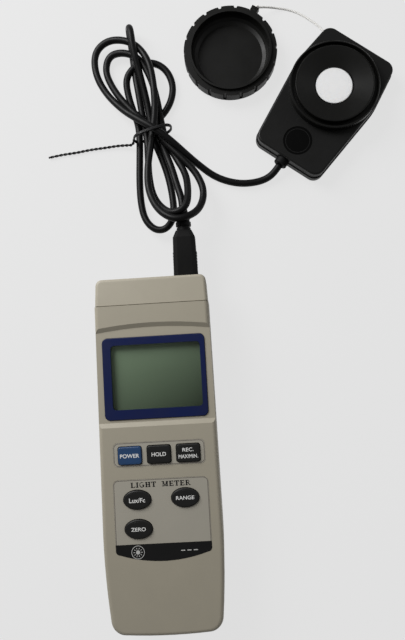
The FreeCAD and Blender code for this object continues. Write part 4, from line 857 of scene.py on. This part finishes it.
# words, width, height and shift along the key, in millimetres
LEGENDS = {
    "key_power": (("POWER", 10.4, 2.1, -0.1),),
    "key_hold": (("HOLD", 7.8, 2.1, 0.1),),
    "key_record": (("REC.", 6.0, 2.0, 1.75), ("MAX/MIN.", 10.4, 2.0, -1.75)),
    "key_unit": (("Lux/Fc", 8.6, 2.4, -0.2),),
    "key_range": (("RANGE", 9.8, 2.0, 0.0),),
    "key_zero": (("ZERO", 7.9, 2.0, 0.0),),
}


class LIGHTMETER_OT_keys(bpy.types.Operator):
    """Puts moulded tops and printed legends on the six keys"""

    bl_idname = "lightmeter.keys"
    bl_label = "Keys"

    def execute(self, context):
        colours = context.scene.meter_case
        dark = worn("key_rubber", tuple(colours.dark_key), 0.44, grain=1900.0, relief=0.000015, polish=0.16,
                    shade=0.10, scratches=0.4)
        blue = worn("power_key_print", tuple(colours.power_key), 0.40, grain=1900.0, relief=0.000015,
                    polish=0.16, shade=0.10, scratches=0.4)
        white = worn("legend_ink", tuple(colours.legend), 0.5, grain=6000.0, relief=0.000004, shade=0.02,
                     scratches=0.1)
        for key, lines in LEGENDS.items():
            material, finish = (blue, "power_key") if key == "key_power" else (dark, "dark_key")
            wear_nodes(material, key)
            low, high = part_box(key)
            centre = middle(key)
            rise = 0.10 * MM
            if key in ("key_power", "key_hold", "key_record"):
                outline = round_rectangle(high.x - low.x - 4.6 * MM, high.y - low.y - 4.4 * MM, 1.0 * MM)
            else:
                outline = ellipse(high.x - low.x - 4.6 * MM, high.y - low.y - 4.4 * MM)
            plate(key + "_top", outline, centre, high.z - rise, high.z + rise / 2, material, key,
                  edge=rise / 2)
            for number, (words, wide, tall, shift) in enumerate(lines):
                lettering(f"{key}_legend_{number}", words, (centre.x, centre.y + shift * MM), wide * MM,
                          tall * MM, high.z + rise / 2, white, key, bold=0.016)
        return {"FINISHED"}


# ------------------------------------------------------------------ inside and back

def board_material():
    """Green solder mask with copper tracks under it."""
    material, tree, shader = surface("circuit_board", (0.010, 0.075, 0.022), 0.34, coat_weight=0.3)
    place = add(tree, "ShaderNodeTexCoord").outputs["Object"]
    tracks = add(tree, "ShaderNodeTexBrick", {"Vector": place, "Scale": 120.0, "Mortar Size": 0.09,
                                              "Color1": (0.010, 0.075, 0.022, 1),
                                              "Color2": (0.012, 0.090, 0.026, 1),
                                              "Mortar": (0.030, 0.160, 0.050, 1)})
    tree.links.new(tracks.outputs["Color"], shader.inputs["Base Color"])
    bump = add(tree, "ShaderNodeBump", {"Height": tracks.outputs["Fac"], "Distance": 0.00003})
    tree.links.new(bump.outputs[0], shader.inputs["Normal"])
    return material


def foam_material():
    """Open-cell foam, its colour darker in the pores as painted shade."""
    material, tree, shader = surface("open_foam", (0.03, 0.03, 0.032), 0.95)
    place = add(tree, "ShaderNodeTexCoord").outputs["Object"]
    cells = add(tree, "ShaderNodeTexVoronoi", {"Vector": place, "Scale": 1500.0})
    bump = add(tree, "ShaderNodeBump", {"Height": cells.outputs["Distance"], "Distance": 0.0003})
    tree.links.new(bump.outputs[0], shader.inputs["Normal"])
    # painted shade: the colour darkens towards the middle of each cell, where the bump makes a pit
    tone = add(tree, "ShaderNodeMapRange", {0: cells.outputs["Distance"], 3: 0.01, 4: 0.06})
    tree.links.new(tone.outputs[0], shader.inputs["Base Color"])
    return material


class LIGHTMETER_OT_inside(bpy.types.Operator):
    """Finishes the board, its parts, the battery and its clip"""

    bl_idname = "lightmeter.inside"
    bl_label = "Inside"

    def execute(self, context):
        wear_nodes(board_material(), "main_board", "sensor_board")
        wear_nodes(worn("chip_plastic", (0.015, 0.015, 0.016), 0.42, grain=4000.0), "board_parts",
                   "key_switches")
        wear_nodes(worn("battery_can", (0.035, 0.036, 0.045), 0.30, polish=0.2, scratches=0.8, metallic=0.5),
                   "battery")
        wear_nodes(worn("clip_plastic", (0.012, 0.012, 0.012), 0.5), "battery_snap")
        wear_nodes(foam_material(), "battery_foam")
        return {"FINISHED"}


class LIGHTMETER_OT_back(bpy.types.Operator):
    """Adds the moulded arrow on the battery cover and the grip bars on the stand"""

    bl_idname = "lightmeter.back"
    bl_label = "Back"

    def execute(self, context):
        stand = bpy.data.materials["stand_plastic"]
        low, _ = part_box("battery_cover")
        thick = 0.35 * MM
        tip = middle("battery_cover").y + 4 * MM
        outline = [(0, 4 * MM), (4.4 * MM, -2 * MM), (1.6 * MM, -2 * MM), (1.6 * MM, -8 * MM),
                   (-1.6 * MM, -8 * MM), (-1.6 * MM, -2 * MM), (-4.4 * MM, -2 * MM)]
        loops = [[(x, tip + y, z) for x, y in outline] for z in (low.z + 0.02 * MM, low.z + thick)]
        solid_from("cover_arrow", loops, stand, "battery_door")
        foot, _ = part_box("stand")
        repeated("stand_grip", "row", "stand", stand, 5, (18 * MM, 0.55 * MM, 0.5 * MM),
                 (0, foot.y + 1.3 * MM, foot.z + 0.05 * MM), step=(0, 1.15 * MM, 0))
        return {"FINISHED"}


# ------------------------------------------------------------------ plug, cord and tie

class LIGHTMETER_OT_plug(bpy.types.Operator):
    """Finishes the socket, the plug and its strain relief"""

    bl_idname = "lightmeter.plug"
    bl_label = "Plug"

    def execute(self, context):
        grip = worn("plug_plastic", (0.0030, 0.0030, 0.0028), 0.45, grain=2600.0, relief=0.00002,
                    polish=0.10, scratches=0.4, specular_ior_level=0.15)
        wear_nodes(grip, "plug_housing")
        wear_nodes(worn("relief_rubber", (0.0035, 0.0035, 0.0036), 0.55, grain=1800.0, relief=0.00002,
                        specular_ior_level=0.15),
                   "plug_relief", "cable_gland")
        wear_nodes(worn("socket_plastic", (0.006, 0.006, 0.006), 0.42), "socket_shell", "socket_core",
                   "plug_insert")
        wear_nodes(brushed("plug_plating", (0.68, 0.68, 0.69), 0.22), "plug_barrel")
        wear_nodes(brushed("pin_brass", (0.80, 0.60, 0.28), 0.25), "plug_pins")
        low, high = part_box("plug_housing")
        centre = middle("plug_housing")
        rib = 0.5 * MM
        for side in (-1, 1):
            repeated(f"plug_ribs_{'left' if side < 0 else 'right'}", "row", "probe", grip, 6,
                     (rib, 0.6 * MM, (high.z - low.z) * 0.42),
                     (centre.x + side * ((high.x - low.x) / 2 * 0.965), low.y + 5.5 * MM, centre.z),
                     step=(0, 1.7 * MM, 0))
        return {"FINISHED"}


# The cord's route in millimetres, from the plug, through the hank's loops, to the sensor.
FROM_PLUG = [
    (19.6, 139, 15), (19.6, 145, 14), (17, 154, 12), (14, 167, 10), (10, 179, 8), (6, 189, 7),
]
SMALL_LOOP = [
    (7, 199, 6), (12, 204, 5), (16, 211, 5), (17.5, 220, 6), (14.5, 229, 7), (8, 234.5, 7), (-1, 235, 6),
    (-7, 231, 5), (-11, 225, 4), (-10, 215, 4), (-7, 205, 4),
]
LEFT_FOLD = [
    (-4, 196, 4), (-4, 186, 4), (-5, 174, 5), (-6, 161, 7), (-6, 148, 9), (-4, 137, 11), (2, 130, 13),
    (9, 130, 14), (14, 137, 14), (14, 149, 11), (12, 164, 8), (8, 178, 6),
]
TALL_FOLD = [
    (4, 188, 6), (3, 198, 7), (1, 212, 9), (-2, 226, 12), (-5, 241, 16), (-6, 253, 17), (-8, 257, 9),
    (-7, 246, 5), (-6, 231, 4), (-4, 215, 4),
]
MIDDLE_FOLD = [
    (-2, 199, 5), (0, 188, 6), (0, 175, 8), (0, 162, 10), (2, 149, 13), (8, 139, 17), (15, 135, 20),
    (22, 139, 20), (23, 150, 16), (22, 162, 12), (16, 174, 9),
]
LEFT_LOOP = [
    (10, 185, 8), (8, 198, 8), (7, 211, 9), (4, 225, 10), (-2, 237, 10), (-12, 242, 9), (-21, 241, 8),
    (-24, 232, 7), (-20, 221, 7), (-13, 210, 8), (-5, 201, 9),
]
RIGHT_FOLD = [
    (4, 192, 10), (12, 182, 10), (21, 172, 10), (29, 162, 10), (33, 150, 12), (30, 139, 15), (23, 133, 20),
    (14, 132, 20), (5, 140, 16), (0, 153, 12), (0, 167, 10),
]
WIDE_LOOP = [
    (2, 179, 9), (4, 190, 9), (6, 202, 9), (6, 217, 10), (4, 232, 11), (-2, 243, 12), (-11, 249, 12),
    (-22, 250, 11), (-30, 243, 10), (-30, 230, 9), (-24, 217, 8), (-14, 205, 9),
]
OUT_OF_HANK = [(-5, 197, 11), (4, 190, 12), (13, 183, 10)]
LEAD = [
    (24.0, 174.0, 6.0), (31.6, 167.4, 3.4), (39.0, 161.6, 2.1), (46.8, 157.8, 2.1), (55.0, 155.8, 2.1),
    (62.9, 155.8, 2.1), (69.8, 157.2, 2.4), (75.2, 160.3, 3.7), (78.6, 164.7, 5.0),
]
HANK = (FROM_PLUG + SMALL_LOOP + LEFT_FOLD + TALL_FOLD + MIDDLE_FOLD + LEFT_LOOP + RIGHT_FOLD + WIDE_LOOP
        + OUT_OF_HANK)
STRING = [
    (71.0, 263.1, 6.6), (76.5, 264.4, 4.4), (83.0, 265.0, 1.6), (90.0, 264.2, 0.6), (96.5, 261.6, 0.6),
    (102.6, 257.0, 1.0), (109.3, 250.5, 2.6), (112.9, 244.1, 3.0),
]


def settled(points, radius, steps, held):
    """The route with its crossing strands pushed apart, round after round for the given number of steps.

    The first and last few points are held. Strands also stay on the floor and clear of the plug.
    """
    places = np.array(points, float)
    count = len(places)
    per_run = 4
    weights = np.zeros(((count - 2) * per_run, count))
    for n in range(1, count - 1):
        for k in range(per_run):
            t = (k + 0.5) / per_run
            row = (n - 1) * per_run + k
            weights[row, n - 1] += (1 - t) ** 2 / 2
            weights[row, n + 1] += t ** 2 / 2
            weights[row, n] += 1 - (1 - t) ** 2 / 2 - t ** 2 / 2
    share = weights.sum(0)
    start = places.copy()
    free = np.ones(count, bool)
    free[:held[0]] = False
    free[count - held[1]:] = False
    near = 14
    order = np.arange(len(weights))
    apart = np.abs(order[:, None] - order[None, :]) > near
    reach = 2 * radius * 1.03
    plug_low, plug_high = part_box("plug_relief")
    plug = np.array([(plug_low.x + plug_high.x) / 2, 0, (plug_low.z + plug_high.z) / 2])
    plug_radius = (plug_high.z - plug_low.z) / 2
    beyond_plug = order > per_run * (held[0] + 2)
    for _ in range(steps):
        at = weights @ places
        gap = at[:, None, :] - at[None, :, :]
        far = np.linalg.norm(gap, axis=2)
        close = apart & (far < reach)
        push = np.zeros_like(at)
        if close.any():
            lift = gap.copy()
            lift[:, :, :2] *= 0.35
            size = np.maximum(np.linalg.norm(lift, axis=2), 1e-6)
            force = np.where(close, (reach - far) * 0.5, 0)
            crowd = np.maximum(close.sum(1), 1)
            push += (lift / size[:, :, None] * force[:, :, None]).sum(1) / crowd[:, None]
        # clear of the strain relief
        rel = at - plug
        rel[:, 1] = 0
        dist = np.linalg.norm(rel, axis=1)
        hit = beyond_plug & (at[:, 1] < plug_high.y + radius) & (dist < plug_radius + radius * 1.05)
        if hit.any():
            push[hit] += rel[hit] / dist[hit][:, None] * (plug_radius + radius * 1.05 - dist[hit])[:, None]
        move = (weights.T @ push) / np.maximum(share, 1e-6)[:, None]
        # stiffness spreads a lift along the cord, and the route draws it back sideways
        smooth = move.copy()
        smooth[1:-1] = move[1:-1] * 0.5 + (move[:-2] + move[2:]) * 0.25
        places[free] += smooth[free]
        drift = places - start
        places[:, :2] -= drift[:, :2] * 0.04
        bend = np.zeros_like(places)
        bend[1:-1] = (drift[:-2] + drift[2:]) / 2 - drift[1:-1]
        places[free] += bend[free] * 0.12
        places[free, 2] -= 0.00004
        low = places[:, 2] < radius
        places[low, 2] = radius
    return [Vector(p) for p in places]


def jacket_material(colour):
    """Satin cord jacket with faint rings from the extruder and a little dust."""
    material, tree, shader = surface("cord_jacket", colour, 0.5, specular_ior_level=0.16)
    uv = add(tree, "ShaderNodeUVMap").outputs[0]
    place = add(tree, "ShaderNodeTexCoord").outputs["Object"]
    wear = add(tree, "ShaderNodeGroup", node_tree=shared("marks", handling_marks))
    tree.links.new(place, wear.inputs["Vector"])
    wear.inputs["Scale"].default_value = 130.0
    wear.inputs["Scratches"].default_value = 0.35
    stretched = add(tree, "ShaderNodeMapping", {"Vector": uv, "Scale": (900.0, 0.6, 1.0)})
    rings = add(tree, "ShaderNodeTexNoise", {"Vector": stretched.outputs[0], "Scale": 1.0, "Detail": 2.0})
    bump = add(tree, "ShaderNodeBump", {"Height": rings.outputs["Fac"], "Distance": 0.00002})
    tree.links.new(bump.outputs[0], shader.inputs["Normal"])
    rough = add(tree, "ShaderNodeMapRange", {0: wear.outputs["Mask"], 3: 0.50, 4: 0.34})
    tree.links.new(rough.outputs[0], shader.inputs["Roughness"])
    tone = add(tree, "ShaderNodeMix", {"Factor": wear.outputs["Scratch"], 6: (*colour, 1),
                                       7: (*[c * 2.2 for c in colour], 1)}, data_type="RGBA")
    tree.links.new(tone.outputs[2], shader.inputs["Base Color"])
    return material


class LIGHTMETER_OT_cord(bpy.types.Operator):
    """Lays the sensor's cord as one line: plug, tied hank, then the lead to the sensor"""

    bl_idname = "lightmeter.cord"
    bl_label = "Cord"

    def execute(self, context):
        settings = context.scene.meter_cord
        points = [Vector(p) * MM for p in HANK + LEAD]
        places = settled(points, settings.radius, settings.settle_steps, (3, len(LEAD)))
        line = line_of(places)[::-1]
        material = jacket_material(tuple(settings.jacket))
        cord = tube("sensor_cord", line, settings.radius, material, "probe", sides=16)
        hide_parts("cord_hank", "cord_lead")
        return {"FINISHED"}


# the tie's twisted tail, then its middle and its slant across the waist
TIE_TAIL = [
    (-8.4, 183.6, 3.6), (-12.6, 184.3, 2.0), (-18.5, 184.6, 1.4), (-27.0, 184.0, 1.0), (-36.0, 183.5, 0.8),
    (-44.5, 182.2, 0.8), (-53.0, 181.7, 0.8), (-61.5, 180.3, 0.9),
]
TIE_MIDDLE = 188.4
TIE_TILT = 0.27


class LIGHTMETER_OT_tie(bpy.types.Operator):
    """Winds the wire tie round the hank's waist and lays out its twisted tail"""

    bl_idname = "lightmeter.tie"
    bl_label = "Wire Tie"

    def execute(self, context):
        radius = context.scene.meter_cord.tie_radius
        material = worn("tie_wire", (0.006, 0.006, 0.0065), 0.40, grain=2500.0, relief=0.00002,
                        scratches=0.8)
        waist = [v.co for v in bpy.data.objects["sensor_cord"].data.vertices
                 if abs(v.co.y - TIE_MIDDLE * MM) < 0.004 and v.co.x < 0.024]
        left = min(p.x for p in waist) - radius
        right = max(p.x for p in waist) + radius
        crest = max(p.z for p in waist) + radius
        centre = Vector(((left + right) / 2, TIE_MIDDLE * MM, (crest + radius) / 2))
        wide, tall = (right - left) / 2, (crest - radius) / 2
        turns, per_turn = 2, 16
        squareness = 0.75
        points = []
        for n in range(turns * per_turn + 1):
            angle = FULL_TURN * (n / per_turn + 0.5)
            across = math.copysign(abs(math.cos(angle)) ** squareness, math.cos(angle))
            up = math.copysign(abs(math.sin(angle)) ** squareness, math.sin(angle))
            along = 1.35 * MM * (n / (turns * per_turn) - 0.5) + TIE_TILT * across * wide
            points.append(centre + Vector((across * wide, along, max(up * tall, radius - centre.z))))
        loop = tube("tie_loop", line_of(points, 4), radius, material, "probe", sides=10)
        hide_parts("twist_tie")
        start = centre + Vector((-wide, -TIE_TILT * wide, 0))
        tail = line_of([start] + [Vector(p) * MM for p in TIE_TAIL], 10)
        for phase in (0.0, 0.5):
            self.strand(f"tie_tail_{'a' if phase else 'b'}", tail, radius, phase, material)
        return {"FINISHED"}

    def strand(self, name, tail, radius, phase, material):
        """One of the two ends, wound round the other."""
        lay = 5.5 * MM
        fine = radius * 0.72
        wound, gone = [], 0.0
        for n, point in enumerate(tail):
            before = tail[max(n - 1, 0)]
            gone += (point - before).length
            way = (tail[min(n + 1, len(tail) - 1)] - before).normalized()
            side = way.cross(Vector((0, 0, 1))).normalized()
            rise = side.cross(way)
            angle = FULL_TURN * (gone / lay + phase)
            wound.append(point + (side * math.cos(angle) + rise * math.sin(angle)) * fine
                         + Vector((0, 0, fine * 0.4)))
        tube(name, wound, fine, material, "probe", sides=8)


# ------------------------------------------------------------------ sensor, cap and string

def opal_material(colour):
    """Opal plastic that light soaks into."""
    material, tree, shader = surface("opal_diffuser", colour, 0.42, subsurface_weight=0.25,
                                     subsurface_scale=0.004)
    shader.inputs["Subsurface Radius"].default_value = (1.0, 0.95, 0.9)
    place = add(tree, "ShaderNodeTexCoord").outputs["Object"]
    grains = add(tree, "ShaderNodeGroup", node_tree=shared("grain", moulded_grain))
    tree.links.new(place, grains.inputs["Vector"])
    bump = add(tree, "ShaderNodeBump", {"Height": grains.outputs[0], "Distance": 0.000006})
    tree.links.new(bump.outputs[0], shader.inputs["Normal"])
    tone = add(tree, "ShaderNodeMapRange", {0: grains.outputs[0], 3: colour[0] * 0.985, 4: colour[0]})
    tree.links.new(tone.outputs[0], shader.inputs["Base Color"])
    return material


class LIGHTMETER_OT_sensor(bpy.types.Operator):
    """Finishes the sensor head: satin shells, ring and dish, opal disc and round label"""

    bl_idname = "lightmeter.sensor"
    bl_label = "Sensor Head"

    def execute(self, context):
        colours = context.scene.meter_sensor
        shell = worn("sensor_plastic", tuple(colours.shell), 0.42, grain=2400.0, relief=0.00003,
                     polish=0.16, shade=0.12, scratches=0.9, marks=40.0, specular_ior_level=0.24)
        wear_nodes(shell, "sensor_top", "sensor_bottom")
        ring = worn("ring_plastic", tuple(colours.ring), 0.36, grain=3500.0, relief=0.000008, polish=0.12,
                    shade=0.10, scratches=0.4, specular_ior_level=0.25)
        wear_nodes(ring, "sensor_collar")
        wear_nodes(opal_material(tuple(colours.diffuser)), "sensor_diffuser")
        badge = worn("badge_film", (0.0016, 0.0016, 0.0016), 0.60, grain=5000.0, relief=0.000006,
                     scratches=0.3, specular_ior_level=0.05)
        wear_nodes(badge, "sensor_badge")
        _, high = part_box("sensor_badge")
        centre = middle("sensor_badge")
        ring_line = ellipse(14.2 * MM, 14.2 * MM, 56)
        faint = worn("badge_line", (0.007, 0.007, 0.007), 0.5, grain=5000.0, relief=0.000004)
        ribbon("badge_ring", [(centre.x + x, centre.y + y) for x, y in ring_line], 0.22 * MM,
               high.z - 0.02 * MM, high.z + 0.03 * MM, faint, "probe", closed=True)
        filter_glass, _, _ = surface("colour_filter", (0.12, 0.42, 0.22), 0.06, transmission_weight=0.6,
                                     ior=1.5)
        wear_nodes(filter_glass, "sensor_filter")
        wear_nodes(worn("photodiode_resin", (0.012, 0.012, 0.03), 0.14, polish=0.05), "photodiode")
        return {"FINISHED"}


class LIGHTMETER_OT_cap(bpy.types.Operator):
    """Finishes the sensor's round cap"""

    bl_idname = "lightmeter.cap"
    bl_label = "Sensor Cap"

    def execute(self, context):
        colour = tuple(context.scene.meter_sensor.cap)
        shell = worn("cap_plastic", colour, 0.42, grain=1500.0, relief=0.00001, polish=0.10, shade=0.12,
                     scratches=0.7, marks=70.0, specular_ior_level=0.22)
        wear_nodes(shell, "sensor_cap")
        return {"FINISHED"}


def thread_material(colour):
    """White twisted thread with painted shade in its furrows and a soft fibre sheen."""
    material, tree, shader = surface("cap_thread", colour, 0.85, sheen_weight=0.5, sheen_roughness=0.4)
    uv = add(tree, "ShaderNodeUVMap").outputs[0]
    twist = add(tree, "ShaderNodeGroup", node_tree=shared("strands", twisted_strands))
    tree.links.new(uv, twist.inputs["UV"])
    twist.inputs["Lay"].default_value = 0.0032
    twist.inputs["Count"].default_value = 3.0
    bump = add(tree, "ShaderNodeBump", {"Height": twist.outputs[0], "Distance": 0.00015})
    tree.links.new(bump.outputs[0], shader.inputs["Normal"])
    # painted shade: the colour darkens to 0.86 of itself in the furrows between the strands
    tone = add(tree, "ShaderNodeMix", {"Factor": twist.outputs[0], 6: (*[c * 0.86 for c in colour], 1),
                                       7: (*colour, 1)}, data_type="RGBA")
    tree.links.new(tone.outputs[2], shader.inputs["Base Color"])
    return material


def knot(name, centre, radius, material, body, turn):
    """An overhand knot: a trefoil line small enough to read as a knot."""
    size = radius * 1.15
    line = []
    steps = 60
    for n in range(steps + 1):
        angle = FULL_TURN * n / steps
        local = Vector((math.sin(angle) + 2 * math.sin(2 * angle), math.cos(angle) - 2 * math.cos(2 * angle),
                        -math.sin(3 * angle))) * size * 0.5
        line.append(Vector(centre) + Matrix.Rotation(turn, 3, "X") @ local)
    return tube(name, line, radius * 0.9, material, body, sides=8)


class LIGHTMETER_OT_string(bpy.types.Operator):
    """Ties the cap to the sensor with its white string"""

    bl_idname = "lightmeter.string"
    bl_label = "Cap String"

    def execute(self, context):
        settings = context.scene.meter_cord
        radius = settings.string_radius
        material = thread_material(tuple(settings.string_colour))
        line = line_of([Vector(p) * MM for p in STRING], 14)[::-1]
        string = tube("string_line", line, radius, material, None, sides=12)
        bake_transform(string)
        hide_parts("cap_string")
        near_cap = knot("string_knot", line[-1], radius, material, "cap", 0.6)
        return {"FINISHED"}


# ------------------------------------------------------------------ panel and start

OPERATORS = (
    LIGHTMETER_OT_stage, LIGHTMETER_OT_case, LIGHTMETER_OT_display, LIGHTMETER_OT_labels, LIGHTMETER_OT_keys,
    LIGHTMETER_OT_inside, LIGHTMETER_OT_back, LIGHTMETER_OT_plug, LIGHTMETER_OT_cord, LIGHTMETER_OT_tie,
    LIGHTMETER_OT_sensor, LIGHTMETER_OT_cap, LIGHTMETER_OT_string,
)


class LIGHTMETER_PT_panel(bpy.types.Panel):
    """Sidebar panel with the light meter's pieces and settings"""

    bl_idname = "LIGHTMETER_PT_panel"
    bl_label = "Light Meter"
    bl_space_type = "VIEW_3D"
    bl_region_type = "UI"
    bl_category = "Light Meter"

    def draw(self, context):
        for operator in OPERATORS:
            self.layout.operator(operator.bl_idname)
        for name, group in SETTINGS.items():
            box = self.layout.box()
            box.label(text=group.__doc__)
            for setting in group.__annotations__:
                box.prop(getattr(context.scene, name), setting)


CLASSES = tuple(SETTINGS.values()) + OPERATORS + (LIGHTMETER_PT_panel,)


def register():
    for item in CLASSES:
        bpy.utils.register_class(item)
    for name, group in SETTINGS.items():
        setattr(bpy.types.Scene, name, bpy.props.PointerProperty(type=group))


def unregister():
    for name in SETTINGS:
        delattr(bpy.types.Scene, name)
    for item in reversed(CLASSES):
        bpy.utils.unregister_class(item)


def main():
    register()
    for operator in OPERATORS:
        step = getattr(bpy.ops.lightmeter, operator.bl_idname.split(".")[1])
        if step() != {"FINISHED"}:
            raise RuntimeError(f"{operator.bl_label} didn't finish")


if __name__ == "__main__":
    main()
